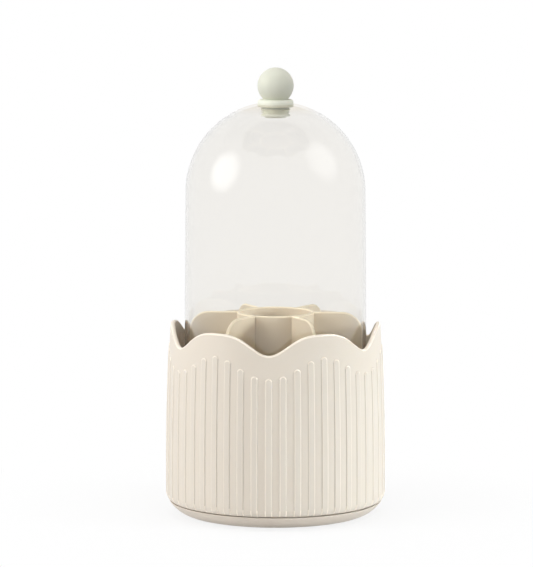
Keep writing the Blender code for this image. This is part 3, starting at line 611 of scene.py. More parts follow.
def carved(name, mesh, cutter, overlapping=False):
    """A mesh less what a cutter takes out. The cutter's own bodies may overlap one another."""
    body = placed(name, mesh)
    tool = placed(name + "_cutter", cutter)
    cut = body.modifiers.new("cut", "BOOLEAN")
    cut.operation = "DIFFERENCE"
    cut.solver = "EXACT"
    cut.use_self = overlapping
    cut.object = tool
    mesh = evaluated(body)
    dropped(body, tool)
    return mesh


def spaced(start, end, steps):
    """Evenly spaced values from start to end."""
    return [start + (end - start) * k / steps for k in range(steps + 1)]


def around(turn, radius, height):
    """The point at an angle from -Y, seen from above."""
    return Vector((radius * math.sin(turn), -radius * math.cos(turn), height))


def arc(centre, radius, start, end, steps):
    """Points on a circle in the (radius, height) plane, from one angle to another off the axis."""
    return [
        (centre[0] + radius * math.sin(turn), centre[1] + radius * math.cos(turn))
        for turn in spaced(start, end, steps)
    ]


def plain(points):
    """Points of an outline as corners with no rounding."""
    return [(x, y, 0) for x, y in points]


def softened(corners):
    """An outline of (x, y) from corners of (x, y, radius), each rounded by an arc."""
    points = []
    for k, (x, y, radius) in enumerate(corners):
        corner = Vector((x, y))
        if radius == 0:
            points.append(corner)
            continue
        before, after = [
            (Vector(corners[j % len(corners)][:2]) - corner).normalized() for j in (k - 1, k + 1)
        ]
        half = before.angle(after) / 2
        centre = corner + (before + after).normalized() * radius / math.sin(half)
        start, end = [corner + way * radius / math.tan(half) - centre for way in (before, after)]
        for turn in spaced(0, start.angle_signed(end), ARC_STEPS):
            points.append(centre + Matrix.Rotation(-turn, 2) @ start)
    return [tuple(point) for point in points]


def lathed(name, outline, steps=SMALL_STEPS):
    """A body turned about Z from an outline of (radius, height) that closes on itself, or one
    that starts and ends on the axis."""
    bm = bmesh.new()
    points = [bm.verts.new((radius, 0, height)) for radius, height in outline]
    ends = points[1:]
    if outline[0][0] > 0:
        ends.append(points[0])
    edges = [bm.edges.new(pair) for pair in zip(points, ends)]
    bmesh.ops.spin(
        bm, geom=points + edges, cent=(0, 0, 0), axis=(0, 0, 1), angle=2 * math.pi, steps=steps,
    )
    return clean_mesh(name, bm)


def skin(bm, rows, closed=True, capped=True):
    """Faces from each row of vertices to the next, and over the first and the last row."""
    for here, after in zip(rows, rows[1:]):
        for k in range(0 if closed else 1, len(here)):
            bm.faces.new((here[k - 1], here[k], after[k], after[k - 1]))
    if capped:
        bm.faces.new(rows[0])
        bm.faces.new(rows[-1])


def skinned(name, rows, capped=True):
    """A closed body from rows of points."""
    bm = bmesh.new()
    skin(bm, [[bm.verts.new(point) for point in row] for row in rows], capped=capped)
    return clean_mesh(name, bm)


def new_tree(build, values):
    """A Geometry Nodes tree with a named input for each value, and the geometry that a function
    adds to its graph. A float goes to a NodeSocketFloat, an Object to a NodeSocketObject."""
    tree = bpy.data.node_groups.new(build.__name__, "GeometryNodeTree")
    for label, value in values.items():
        kind = "NodeSocket" + type(value).__name__.capitalize()
        tree.interface.new_socket(label, in_out="INPUT", socket_type=kind)
    tree.interface.new_socket("Geometry", in_out="OUTPUT", socket_type="NodeSocketGeometry")
    graph = Graph(tree)
    source = graph.node("NodeGroupInput")
    given = {label: source[label] for label in values}
    finished = graph.node(
        "GeometryNodeSetMaterial",
        {"Geometry": build(graph, given), "Material": given["Material"]},
    )
    graph.node("NodeGroupOutput", {"Geometry": finished})
    return tree


def grown(name, build, master, slot, values):
    """The plain mesh that a tree makes from a master mesh and the values of its named inputs."""
    piece = placed(name + "_master", master)
    values = {"Piece": piece, "Material": finish_of(FINISH_OF_SLOT[slot]), **values}
    tree = bpy.data.node_groups.get(build.__name__) or new_tree(build, values)
    obj = placed(name, bpy.data.meshes.new(name))
    modifier = obj.modifiers.new(name, "NODES")
    modifier.node_group = tree
    for socket in tree.interface.items_tree:
        if socket.in_out == "INPUT":
            modifier[socket.identifier] = values[socket.name]
    obj.update_tag()
    mesh = evaluated(obj)
    obj.modifiers.remove(modifier)
    dropped(obj, piece)
    return mesh


def copies(graph, given, many, rotation=(0.0, 0.0, 0.0)):
    """Real copies of the master, one on each of so many points that know their number."""
    points = graph.node("GeometryNodePoints", {"Count": many})
    index = graph.node("GeometryNodeInputIndex")
    numbered = graph.node(
        "GeometryNodeStoreNamedAttribute", {"Geometry": points, "Name": "number", "Value": index},
        data_type="INT", domain="POINT",
    )
    master = graph.node("GeometryNodeObjectInfo", {"Object": given["Piece"]})["Geometry"]
    instances = graph.node(
        "GeometryNodeInstanceOnPoints",
        {"Points": numbered, "Instance": master, "Rotation": rotation},
    )
    return graph.node("GeometryNodeRealizeInstances", {"Geometry": instances})


def ring_of_copies(graph, given):
    """Copies of a piece turned about the axis, evenly spaced from a first angle."""
    index = graph.node("GeometryNodeInputIndex")
    turn = given["First angle"] + index * (2 * math.pi) / given["Count"]
    return copies(graph, given, given["Count"], graph.node("ShaderNodeCombineXYZ", {"Z": turn}))


def ring_of(name, master, slot, many, circle=0.0, first_angle=0.0):
    """The mesh of a ring of copies of a master mesh, which is first moved out to a circle."""
    master.transform(Matrix.Translation((0, -circle, 0)))
    values = {"Count": many, "First angle": first_angle}
    return grown(name, ring_of_copies, master, slot, values)


def ring_piece(name, master, slot, body, stem, many, circle, first_angle=0.0):
    """A finished ring of like pieces. Their CAD nodes share a stem and are numbered from 1."""
    mesh = ring_of(name, master, slot, many, circle, first_angle)
    nodes = [f"{stem}_{k + 1}" for k in range(many)]
    make_piece(name, mesh, slot, body, *nodes)


def wrapped_ribs(graph, given):
    """Ribs round the cup. Each copy of the flat master is stretched to its own length under the
    petal rim and wrapped on the wall."""
    place, share = [
        graph.node("GeometryNodeInputNamedAttribute", {"Name": name}, data_type="FLOAT")
        for name in ("number", "share")
    ]
    flat = graph.node("ShaderNodeSeparateXYZ", {0: graph.node("GeometryNodeInputPosition")})
    across, inward, rise = [flat[axis] for axis in "XYZ"]

    petal = place / given["Ribs per petal"]
    middle = 1 - graph.math("ABSOLUTE", 2 * graph.math("FRACT", petal) - 1)
    lift = (1 - graph.math("COSINE", math.pi * middle ** given["Rib fullness"])) / 2
    top = given["Lowest tip"] + given["Rib rise"] * lift - given["Half width"]
    height = given["Foot"] + share * (top - given["Foot"]) + rise

    down = (given["Skirt top"] - height) / (given["Skirt top"] - given["Ground"])
    down = graph.math("MAXIMUM", down, 0)
    bulge = (1 - down ** given["Skirt roundness"]) ** (1 / given["Skirt roundness"])
    above = graph.math("MAXIMUM", height - given["Taper start"], 0)
    taper = above / (given["Petal top"] - given["Taper start"])
    wall = given["Cup radius"] - given["Skirt depth"] * (1 - bulge)
    wall = wall - given["Rim taper"] * taper * taper
    fade = graph.math("SMOOTH_MIN", (height - given["Foot"]) / given["Fade"], 1, RIB_FADE_BEND)
    radius = wall - inward * fade - given["Sink"] * (1 - fade)
    turn = petal * (2 * math.pi) / given["Petals"] + across / given["Cup radius"]
    wrapped = graph.node(
        "ShaderNodeCombineXYZ",
        {
            "X": radius * graph.math("SINE", turn),
            "Y": 0 - radius * graph.math("COSINE", turn),
            "Z": height,
        },
    )
    solid = copies(graph, given, given["Petals"] * given["Ribs per petal"])
    return graph.node("GeometryNodeSetPosition", {"Geometry": solid, "Position": wrapped})


class ShellShape:
    """The cup's plain wall, worked out from its sizes."""

    def __init__(self, sizes):
        self.sizes = sizes
        self.foot = SHELL_LOW.z
        self.top = SHELL_HIGH.z
        self.widest = SHELL_HIGH.x
        self.radius = self.widest - sizes.relief
        self.valley = self.top - sizes.petal_depth
        self.turn = 2 * math.pi / sizes.petals

    def skirt_radius(self, height):
        """Radius over the ribs of the rounded bottom edge."""
        sizes = self.sizes
        down = (sizes.skirt_top - height) / (sizes.skirt_top - BASE_LOW.z)
        down = min(max(down, 0), 1)
        bulge = (1 - down**sizes.skirt_roundness) ** (1 / sizes.skirt_roundness)
        return self.widest - sizes.skirt_depth * (1 - bulge)

    def wall_radius(self, height):
        sizes = self.sizes
        taper = max(height - sizes.taper_start, 0) / (self.top - sizes.taper_start)
        return self.skirt_radius(height) - sizes.relief - sizes.rim_taper * taper**2

    def rim_height(self, turn):
        share = 1 - abs(2 * (turn / self.turn % 1) - 1)
        rise = 1 - (1 - share) ** self.sizes.petal_roundness
        return self.valley + self.sizes.petal_depth * (1 - math.cos(math.pi * rise)) / 2


def shell_wall(shape):
    """The wall as a closed skin: up the outside, over the rounded rim, down past the ledge."""
    sizes = shape.sizes
    edge = sizes.rim_round
    hidden = edge / 3  # rounding of the edges inside and below
    skirt = spaced(shape.foot, sizes.skirt_top, WALL_FOOT_STEPS)[1:]
    foot_outer = shape.wall_radius(shape.foot)
    foot_inner = foot_outer - sizes.wall
    inner = shape.radius - sizes.wall
    ledge_wall = shape.wall_radius(sizes.ledge_top) - sizes.wall
    ledge_low = sizes.ledge_top - sizes.ledge_edge
    land_top = shape.foot + sizes.foot_land
    lower = softened([
        (ledge_wall, sizes.ledge_top, 0),
        (sizes.ledge_inner, sizes.ledge_top, hidden), (sizes.ledge_inner, ledge_low, hidden),
        (ledge_wall, ledge_low - (ledge_wall - sizes.ledge_inner), 0),
        (inner, land_top + inner - foot_inner, 0), (foot_inner, land_top, 0),
        (foot_inner, shape.foot, hidden), (foot_outer, shape.foot, hidden),
    ])

    def column(turn):
        rim = shape.rim_height(turn)
        brow = rim - edge
        outer = shape.wall_radius(rim)
        heights = skirt + spaced(sizes.skirt_top, brow, WALL_RISE_STEPS)[1:]
        points = [(shape.wall_radius(height), height) for height in heights]
        points += arc((outer - edge, brow), edge, math.pi / 2, 0, ARC_STEPS)[1:]
        points += arc((outer - sizes.wall + edge, brow), edge, 0, -math.pi / 2, ARC_STEPS)
        for height in spaced(brow, sizes.ledge_top, WALL_RISE_STEPS)[1:-1]:
            points.append((shape.wall_radius(height) - sizes.wall, height))
        return [around(turn, *point) for point in points + lower]

    columns = [column(turn) for turn in spaced(0, 2 * math.pi, WALL_STEPS)]
    return skinned("shell_wall", columns, capped=False)


def flat_rib(sizes):
    """The master rib, laid flat: X across, -Y out of the wall and Z up from its round tip's middle.
    The attribute share says how far along the straight part a point lies."""
    half = sizes.rib_width / 2
    section = [(0, -sizes.rib_root), (half + sizes.rib_edge / 2, -sizes.rib_root)]
    for step in spaced(0, 1, RIB_EDGE_STEPS):
        lift = sizes.relief * (1 - math.cos(math.pi * step)) / 2
        section.append((half + sizes.rib_edge * (0.5 - step), lift))
    section.append((0, sizes.relief))
    shares = [step**RIB_SPACING for step in spaced(0, 1, RIB_STEPS)[:-1]]
    path = [(math.pi, share) for share in shares]
    path += [(turn, 1.0) for turn in spaced(math.pi, 0, BEND_STEPS)]
    path += [(0.0, share) for share in reversed(shares)]
    bm = bmesh.new()
    layer = bm.verts.layers.float.new("share")
    rows = []
    for turn, share in path:
        row = [
            bm.verts.new((reach * math.cos(turn), -lift, reach * math.sin(turn)))
            for reach, lift in section
        ]
        for vert in row:
            vert[layer] = share
        rows.append(row)
    skin(bm, rows, closed=False)
    return raw_mesh("flat_rib", bm)


def screw_boss(shape):
    """A boss with a web that runs out into the wall, towards -Y."""
    sizes = shape.sizes
    low, high = sizes.boss_foot, sizes.boss_foot + sizes.boss_height
    edge = sizes.boss_round
    web_end = shape.radius - sizes.wall / 2
    rows = []
    for inset, height in [(0, low), *arc((edge, high - edge), edge, -math.pi / 2, 0, ARC_STEPS)]:
        radius = sizes.boss_radius - inset
        nose = arc((0, -sizes.boss_circle), radius, math.pi / 2, -math.pi / 2, BEND_STEPS)
        outline = [*nose, (-radius, -web_end), (radius, -web_end)]
        rows.append([(x, y, height) for x, y in outline])
    return skinned("screw_boss", rows)


def divider_fin(sizes):
    """A fin towards +X with rounded edges."""
    root = sizes.tube_radius - sizes.tube_wall / 2
    half = sizes.thickness / 2
    edge = sizes.edge
    reach, top, low = DIVIDER_HIGH.x, DIVIDER_HIGH.z, DIVIDER_LOW.z
    centre = (reach - sizes.corner, top - sizes.corner)
    side = arc((edge, half - edge), edge, 0, -math.pi / 2, ARC_STEPS)
    rows = []
    for inset, offset in side + [(inset, -offset) for inset, offset in reversed(side)]:
        bend = arc(centre, sizes.corner - inset, math.pi / 2, 0, BEND_STEPS)
        outline = [(root, low), (reach - inset, low), *bend, (root, top - inset)]
        rows.append([(x, offset, z) for x, z in outline])
    return skinned("divider_fin", rows)


def plug_corners(sizes):
    """The plug's outline: tapered, with two ring grooves, a narrower tip and a bore."""
    edge = sizes.nut_edge
    top = GASKET_LOW.z - HAIRLINE
    height = NUT_HIGH.z - NUT_LOW.z

    def side(level):
        return NUT_HIGH.x - sizes.nut_taper * (top - level) / height

    grooves = []
    for share in (sizes.upper_groove, sizes.lower_groove):
        high = NUT_HIGH.z - share * height
        low = high - sizes.groove_width
        floor = side(low) - sizes.groove_depth
        grooves += [(side(high), high, edge), (floor, high, 0)]
        grooves += [(floor, low, 0), (side(low), low, edge)]
    tip_top = NUT_LOW.z + sizes.tip_height
    tip = NUT_HIGH.x - sizes.tip_inset
    bore = sizes.head + sizes.gap
    bore_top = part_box("knob_screw")[0].z + sizes.head_height + sizes.gap
    return [
        (sizes.hole, top, 0), (side(top), top, edge), *grooves,
        (side(tip_top), tip_top, edge), (tip, tip_top, 0), (tip, NUT_LOW.z, edge),
        (bore, NUT_LOW.z, edge), (bore, bore_top, 0), (sizes.hole, bore_top, 0),
    ]


def pan_screw(name, node, head, head_height, shank):
    """A pan-head screw that points up in a CAD node's place, with a cross recess in its head."""
    sizes = bpy.context.scene.holder_screws
    low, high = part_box(node)
    seat = low.z + head_height
    total = high.z - seat
    corners = [
        (0, total, 0), (shank / 2, total, 0), (shank, total - sizes.tip, 0), (shank, 0, 0),
        (head, 0, 0), (head, -head_height / 2, head_height / 4),
        (head * 3 / 4, -head_height, head_height / 4), (0, -head_height, 0),
    ]
    depth = sizes.recess_depth
    bar = Matrix.Translation((0, 0, -head_height + depth / 2 - OVERRUN / 2))
    bar = bar @ Matrix.Diagonal((2 * sizes.recess_reach, sizes.recess_width, depth + OVERRUN, 1))
    cross = bmesh.new()
    for turn in (0, math.pi / 2):
        bmesh.ops.create_cube(cross, size=1, matrix=Matrix.Rotation(turn, 4, "Z") @ bar)
    body = lathed(name, softened(corners))
    mesh = carved(name, body, raw_mesh("cross_recess", cross), overlapping=True)
    mesh.transform(Matrix.Translation((0, 0, seat)))
    return mesh


class HOLDER_OT_shell(bpy.types.Operator):
    """Make the ribbed shell with the petal rim"""

    bl_idname = "holder.shell"
    bl_label = "Ribbed shell"

    def execute(self, context):
        sizes = context.scene.holder_shell
        shape = ShellShape(sizes)
        values = {
            "Petals": sizes.petals, "Ribs per petal": sizes.ribs_per_petal,
            "Rib fullness": sizes.rib_fullness, "Half width": sizes.rib_width / 2,
            "Lowest tip": shape.valley - sizes.rib_drop, "Rib rise": sizes.rib_rise,
            "Cup radius": shape.radius, "Petal top": shape.top, "Foot": shape.foot,
            "Ground": BASE_LOW.z, "Taper start": sizes.taper_start, "Rim taper": sizes.rim_taper,
            "Skirt top": sizes.skirt_top, "Skirt depth": sizes.skirt_depth,
            "Skirt roundness": sizes.skirt_roundness, "Fade": sizes.rib_fade,
            "Sink": sizes.rib_sink,
        }
        ribs = grown("shell_ribs", wrapped_ribs, flat_rib(sizes), "cream_plastic", values)
        bosses = ring_of("shell_bosses", screw_boss(shape), "cream_plastic", sizes.bosses)
        mesh = joined("ribbed_shell", shell_wall(shape), ribs, bosses)
        make_piece("ribbed_shell", mesh, "cream_plastic", "cup", "outer_shell")
        return {"FINISHED"}


class HOLDER_OT_base(bpy.types.Operator):
    """Make the turntable base and its rubber feet"""

    bl_idname = "holder.base"
    bl_label = "Turntable base"

    def execute(self, context):
        sizes = context.scene.holder_base
        shape = ShellShape(context.scene.holder_shell)
        low, high = BASE_LOW.z, BASE_HIGH.z
        edge = sizes.edge
        floor = low + sizes.plate
        turns = spaced(0, math.pi / 2, BASE_SKIRT_STEPS)
        heights = [low + (high - edge - low) * math.cos(turn) for turn in turns]
        skirt = [(shape.skirt_radius(height), height) for height in heights]
        hub_outer = sizes.counterbore + sizes.hub_sleeve
        half = math.acos((sizes.ball_height - sizes.track) / sizes.groove)
        middle = (sizes.ball_circle, sizes.ball_height)
        groove = arc(middle, sizes.groove, math.pi + half, math.pi - half, GROOVE_STEPS)
        track_inner = sizes.ball_circle - sizes.track_width / 2
        track_outer = sizes.ball_circle + sizes.track_width / 2
        corners = [
            (sizes.hub_hole, sizes.hub_low, 0), (sizes.hub_hole, sizes.hub_high, 0),
            (hub_outer, sizes.hub_high, edge), (hub_outer, floor, 0),
            (track_inner, floor, 0), (track_inner + sizes.track_slope, sizes.track, 0),
            *plain(groove),
            (track_outer - sizes.track_slope, sizes.track, 0), (track_outer, floor, 0),
            (shape.skirt_radius(floor) - sizes.wall, floor, edge),
            (shape.skirt_radius(high) - sizes.wall, high, edge),
            (shape.skirt_radius(high), high, edge / 2), *plain(skirt),
            (sizes.counterbore, low, edge), (sizes.counterbore, sizes.hub_low, 0),
        ]
        dish = lathed("turntable_base", softened(corners), FINE_STEPS)
        radius = sizes.foot_radius + sizes.foot_gap
        top = sizes.foot_height + sizes.foot_gap
        outline = [(0, top), (radius, top), (radius, -OVERRUN), (0, -OVERRUN)]
        first = math.pi / sizes.feet
        pockets = ring_of(
            "foot_pockets", lathed("foot_pocket", outline), "base_plastic", sizes.feet,
            sizes.foot_circle, first,
        )
        mesh = carved("turntable_base", dish, pockets)
        make_piece("turntable_base", mesh, "base_plastic", "base", "base_dish")

        corners = [
            (0, sizes.foot_height, 0), (sizes.foot_radius, sizes.foot_height, sizes.foot_round),
            (sizes.foot_radius, 0, sizes.foot_round), (0, 0, 0),
        ]
        foot = lathed("rubber_foot", softened(corners))
        ring_piece(
            "rubber_feet", foot, "foot_rubber", "base", "foot", sizes.feet, sizes.foot_circle,
            first,
        )
        return {"FINISHED"}


class HOLDER_OT_bearing(bpy.types.Operator):
    """Make the bearing's steel balls"""

    bl_idname = "holder.bearing"
    bl_label = "Ball bearing"

    def execute(self, context):
        sizes = context.scene.holder_base
        across, upward = BEARING_BALL_STEPS
        bm = bmesh.new()
        bmesh.ops.create_uvsphere(
            bm, u_segments=across, v_segments=upward, radius=sizes.ball_radius,
            matrix=Matrix.Translation((0, 0, sizes.ball_height)),
        )
        ball = clean_mesh("steel_ball", bm)
        ring_piece("steel_balls", ball, "steel", "bearing", "ball", sizes.balls, sizes.ball_circle)
        return {"FINISHED"}


class HOLDER_OT_divider(bpy.types.Operator):
    """Make the divider with its middle tube and fins"""

    bl_idname = "holder.divider"
    bl_label = "Brush divider"

    def execute(self, context):
        sizes = context.scene.holder_divider
        inner = sizes.tube_radius - sizes.tube_wall
        corners = [
            (inner, DIVIDER_HIGH.z, sizes.edge), (sizes.tube_radius, DIVIDER_HIGH.z, sizes.edge),
            (sizes.tube_radius, DIVIDER_LOW.z, 0), (inner, DIVIDER_LOW.z, 0),
        ]
        tube = lathed("divider_tube", softened(corners), FINE_STEPS)
        fins = ring_of("divider_fins", divider_fin(sizes), "cream_plastic", sizes.fins)
        mesh = joined("brush_divider", tube, fins)
        # Painted light: the divider gets a lighter, warmer copy of the cream instead of the cup's
        # own finish.
        make_piece(
            "brush_divider", mesh, "cream_plastic", "cup", "divider", finish="divider_painted_light_finish"
        )
        return {"FINISHED"}


class HOLDER_OT_seat(bpy.types.Operator):
    """Make the ring that the cover stands in"""

    bl_idname = "holder.seat"
    bl_label = "Cover seat"

    def execute(self, context):
        sizes = context.scene.holder_cover
        edge = sizes.seat_edge
        top = SEAT_LOW.z + sizes.seat_thickness
        inner = DIVIDER_HIGH.x + sizes.seat_room
        lip_outer = sizes.seat_lip + sizes.seat_lip_wall
        corners = [
            (inner, top, edge), (sizes.seat_lip, top, 0),
            (sizes.seat_lip, SEAT_HIGH.z, edge), (lip_outer, SEAT_HIGH.z, edge),
            (lip_outer, top, 0), (SEAT_HIGH.x, top, edge),
            (SEAT_HIGH.x, SEAT_LOW.z, 0), (inner, SEAT_LOW.z, edge),
        ]
        turned_piece("lid_seat", corners, "cream_plastic", "cup", "cover_seat", FINE_STEPS)
        return {"FINISHED"}


class HOLDER_OT_dome(bpy.types.Operator):
    """Make the clear domed cover"""

    bl_idname = "holder.dome"
    bl_label = "Clear dome"

    def execute(self, context):
        sizes = context.scene.holder_cover
        crown = DOME_HIGH.z - sizes.equator
        radius = math.hypot(crown, sizes.seat)
        inner = radius - sizes.wall
        centre = (0, sizes.equator)
        start = math.asin(sizes.seat / radius)
        end = math.acos((crown - sizes.wall) / inner)
        rim = COLLAR_HIGH.x + HAIRLINE
        corners = [
            *plain(arc(centre, radius, start, math.pi / 2, DOME_STEPS)),
            (DOME_HIGH.x, DOME_LOW.z, sizes.foot_round),
            (DOME_HIGH.x - sizes.wall, DOME_LOW.z, sizes.foot_round),
            *plain(arc(centre, inner, math.pi / 2, end, DOME_STEPS)),
            (rim, DOME_HIGH.z - sizes.wall, 0), (rim, DOME_HIGH.z, 0),
        ]
        turned_piece("clear_dome", corners, "clear_plastic", "cover", "dome_cover", FINE_STEPS)
        return {"FINISHED"}


class HOLDER_OT_knob(bpy.types.Operator):
    """Make the ball knob with its collar, plug, washer and screw"""

    bl_idname = "holder.knob"
    bl_label = "Knob"

    def execute(self, context):
        sizes = context.scene.holder_knob
        underside = DOME_HIGH.z - context.scene.holder_cover.wall
        hole = sizes.hole

        radius = BALL_HIGH.x
        last = math.pi - math.asin(sizes.flat / radius)
        foot = COLLAR_HIGH.z + HAIRLINE
        hole_end = BALL_LOW.z + sizes.hole_depth
        outline = [
            *arc((0, BALL_HIGH.z - radius), radius, 0, last, KNOB_BALL_STEPS),
            (sizes.flat, foot), (hole, foot), (hole, hole_end), (0, hole_end),
        ]
        # Painted shade: the ball gets a darker copy of the collar's celery.
        turned_piece(
            "knob_sphere", plain(outline), "knob_plastic", "cover", "knob_ball",
            finish="ball_painted_shade_finish",
        )

        corners = [
            (hole, COLLAR_HIGH.z, 0), (COLLAR_HIGH.x, COLLAR_HIGH.z, sizes.collar_round),
            (COLLAR_HIGH.x, underside, sizes.collar_edge), (hole, underside, 0),
        ]
        turned_piece("knob_disc", corners, "knob_plastic", "cover", "knob_collar")

        edge = sizes.nut_edge
        top, reach = underside - HAIRLINE, GASKET_HIGH.x
        corners = [
            (hole, top, 0), (reach, top, edge), (reach, GASKET_LOW.z, edge),
            (hole, GASKET_LOW.z, 0),
        ]
        turned_piece("knob_seal", corners, "silicone", "cover", "knob_gasket")
        turned_piece("knob_plug", plug_corners(sizes), "knob_plastic", "cover", "knob_nut")

        mesh = pan_screw("knob_fixing", "knob_screw", sizes.head, sizes.head_height, sizes.shank)
        make_piece("knob_fixing", mesh, "steel", "cover", "knob_screw")
        return {"FINISHED"}


class HOLDER_OT_fixings(bpy.types.Operator):
    """Make the screws of the floor and the pivot, and the pivot's washer"""

    bl_idname = "holder.fixings"
    bl_label = "Screws and washer"

    def execute(self, context):
        sizes = context.scene.holder_screws
        shell = context.scene.holder_shell
        make = (sizes.head, sizes.head_height, sizes.shank)

        screw = pan_screw("floor_screw_master", "floor_screw_1", *make)
        ring_piece(
            "floor_fixings", screw, "steel", "cup", "floor_screw", shell.bosses, shell.boss_circle
        )
        mesh = pan_screw("pivot_fixing", "pivot_screw", *make)
        make_piece("pivot_fixing", mesh, "steel", "cup", "pivot_screw")

        low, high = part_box("pivot_washer")
        hole = sizes.shank + context.scene.holder_knob.gap
        edge = sizes.washer_edge
        corners = [
            (hole, high.z, edge), (high.x, high.z, edge), (high.x, low.z, edge),
            (hole, low.z, edge),
        ]
        turned_piece("pivot_disc", corners, "steel", "cup", "pivot_washer")
        return {"FINISHED"}


class HOLDER_OT_kept(bpy.types.Operator):
    """Give the pieces that stay as packed their finishes"""

    bl_idname = "holder.kept"
    bl_label = "Floor, bush and cage"

    def execute(self, context):
        slots = {part["node"]: part["material_slot"] for part in frame["record"]["subparts"]}
        for node in ("cup_floor", "pivot_bush", "ball_cage"):
            dress(frame["nodes"][node].data, FINISH_OF_SLOT[slots[node]])
        return {"FINISHED"}


def seen_directly(graph):
    """1 for rays that show the surroundings: from the camera, off gloss and through glass. Less
    for those that light a matt surface through glass."""
    path = graph.node("ShaderNodeLightPath")
    seen = path["Is Camera Ray"]
    for kind in ("Is Glossy Ray", "Is Transmission Ray"):
        seen = graph.math("MAXIMUM", seen, path[kind])
    return seen * (1 - LOST_IN_GLASS * graph.math("GREATER_THAN", path["Diffuse Depth"], 0.5))


def soft_light(graph, direction, side, size, strength):
    """A round light without an edge, on one side of the world."""
    inputs = {0: direction, 1: Vector(side).normalized()}
    likeness = graph.node("ShaderNodeVectorMath", inputs, operation="DOT_PRODUCT")["Value"]
    return graph.ramp(likeness, math.cos(size), math.cos(size / 3)) * strength


def make_world(settings):
    """White where it is seen. As light it leans to the top, and gloss shows two soft lights."""
    world = bpy.data.worlds.new("studio")
    bpy.context.scene.world = world
    world.use_nodes = True
    world.node_tree.nodes.clear()
    graph = Graph(world.node_tree)
    direction = graph.node("ShaderNodeTexCoord")["Generated"]
    upward = graph.node("ShaderNodeSeparateXYZ", {0: direction})["Z"]
    light = settings.fill * (1 + settings.lean * upward)
    size = settings.glow_size
    glow = soft_light(graph, direction, LEFT_GLOW_SIDE, size, settings.left_glow)
    glow = glow + soft_light(graph, direction, RIGHT_GLOW_SIDE, size, settings.right_glow)
    strength = light + seen_directly(graph) * (1 - light + glow)
    sky = graph.node("ShaderNodeBackground", {"Color": WHITE, "Strength": strength})
    graph.node("ShaderNodeOutputWorld", {"Surface": sky})


def white_card(graph, place, white, reach):
    """A card that keeps the shadow close to the foot and shows plain white farther out."""
    distance = graph.node("ShaderNodeVectorMath", {0: place}, operation="LENGTH")["Value"]
    share = white + (1 - white) * graph.math("SMOOTH_MIN", distance / reach, 1, FLOOR_FADE_BEND)
    card = graph.node("ShaderNodeBsdfDiffuse", {"Color": CARD_GREY})
    paper = graph.node("ShaderNodeEmission", {"Color": WHITE})
    return graph.mix(seen_directly(graph) * share, card, paper)


def softbox(name, power, tint, size, place, aim=CUP_MIDDLE, spread=math.pi):
    """A lamp that shines from a place at a point, and that gloss doesn't show."""
    lamp = bpy.data.lights.new(name, "AREA")
    lamp.energy = power
    lamp.color = tint
    lamp.shape = "RECTANGLE"
    lamp.size, lamp.size_y = size
    lamp.spread = spread
    obj = placed(name, lamp)
    obj.location = place
    obj.rotation_euler = (Vector(aim) - Vector(place)).to_track_quat("-Z", "Y").to_euler()
    obj.visible_glossy = obj.visible_transmission = False


def make_camera(settings):
    data = bpy.data.cameras.new("camera")
    data.sensor_fit = "VERTICAL"
    data.sensor_height = 36.0
    data.lens = settings.lens
    camera = placed("camera", data)
    azimuth = settings.camera_azimuth
    camera.location = around(azimuth, settings.camera_distance, settings.camera_height)
    right = Vector((math.cos(azimuth), math.sin(azimuth), 0))
    aim = right * settings.aim_side + Vector((0, 0, settings.aim_height))
    camera.rotation_euler = (aim - camera.location).to_track_quat("-Z", "Y").to_euler()
    bpy.context.scene.camera = camera


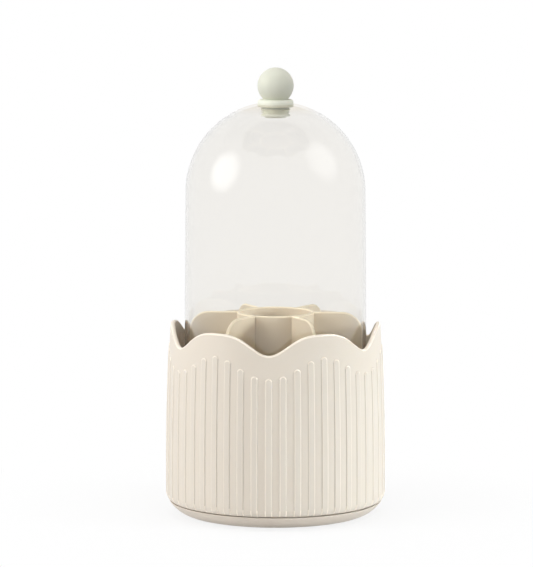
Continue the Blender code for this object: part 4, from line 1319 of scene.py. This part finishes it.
class HOLDER_OT_stage(bpy.types.Operator):
    """Make the floor, the lamps, the world and the camera"""

    bl_idname = "holder.stage"
    bl_label = "Stage"

    def execute(self, context):
        settings = context.scene.holder_stage
        context.scene.view_settings.view_transform = "Standard"
        make_world(settings)
        bm = bmesh.new()
        bmesh.ops.create_grid(bm, x_segments=4, y_segments=4, size=FLOOR_HALF)
        floor = placed("studio_floor", raw_mesh("studio_floor", bm))
        floor.data.materials.append(
            new_material("studio_floor", white_card, settings.floor_white, settings.floor_reach)
        )
        softbox("left_softbox", settings.left_power, **LEFT_BOX)
        softbox(
            "right_softbox", settings.right_power, aim=CUP_FOOT, spread=settings.right_spread,
            **RIGHT_BOX,
        )
        softbox("top_softbox", settings.top_power, **TOP_BOX)
        make_camera(settings)
        return {"FINISHED"}


OPERATORS = (
    HOLDER_OT_stage, HOLDER_OT_shell, HOLDER_OT_base, HOLDER_OT_bearing, HOLDER_OT_divider,
    HOLDER_OT_seat, HOLDER_OT_dome, HOLDER_OT_knob, HOLDER_OT_fixings, HOLDER_OT_kept,
)

GROUPS = {
    "holder_shell": ShellSizes,
    "holder_base": BaseSizes,
    "holder_divider": DividerSizes,
    "holder_cover": CoverSizes,
    "holder_knob": KnobSizes,
    "holder_screws": ScrewSizes,
    "holder_finishes": Finishes,
    "holder_stage": StageSettings,
}


class HOLDER_PT_pieces(bpy.types.Panel):
    """Lists the pieces' operators and their sizes"""

    bl_idname = "HOLDER_PT_pieces"
    bl_label = "Brush Holder"
    bl_space_type = "VIEW_3D"
    bl_region_type = "UI"
    bl_category = "Brush Holder"

    def draw(self, context):
        for operator in OPERATORS:
            self.layout.operator(operator.bl_idname)
        for name, group in GROUPS.items():
            box = self.layout.box()
            for label in group.__annotations__:
                box.prop(getattr(context.scene, name), label)


def register():
    for name, group in GROUPS.items():
        bpy.utils.register_class(group)
        setattr(bpy.types.Scene, name, PointerProperty(type=group))
    for operator in OPERATORS:
        bpy.utils.register_class(operator)
    bpy.utils.register_class(HOLDER_PT_pieces)


def unregister():
    bpy.utils.unregister_class(HOLDER_PT_pieces)
    for operator in reversed(OPERATORS):
        bpy.utils.unregister_class(operator)
    for name, group in reversed(GROUPS.items()):
        delattr(bpy.types.Scene, name)
        bpy.utils.unregister_class(group)


def clear_startup():
    """Removes what Blender opens with and the frame doesn't hold."""
    for name in ("Cube", "Light", "Camera"):
        if name in bpy.data.objects:
            dropped(bpy.data.objects[name])


def main():
    clear_startup()
    register()
    for operator in OPERATORS:
        group, name = operator.bl_idname.split(".")
        getattr(getattr(bpy.ops, group), name)()


if __name__ == "__main__":
    main()
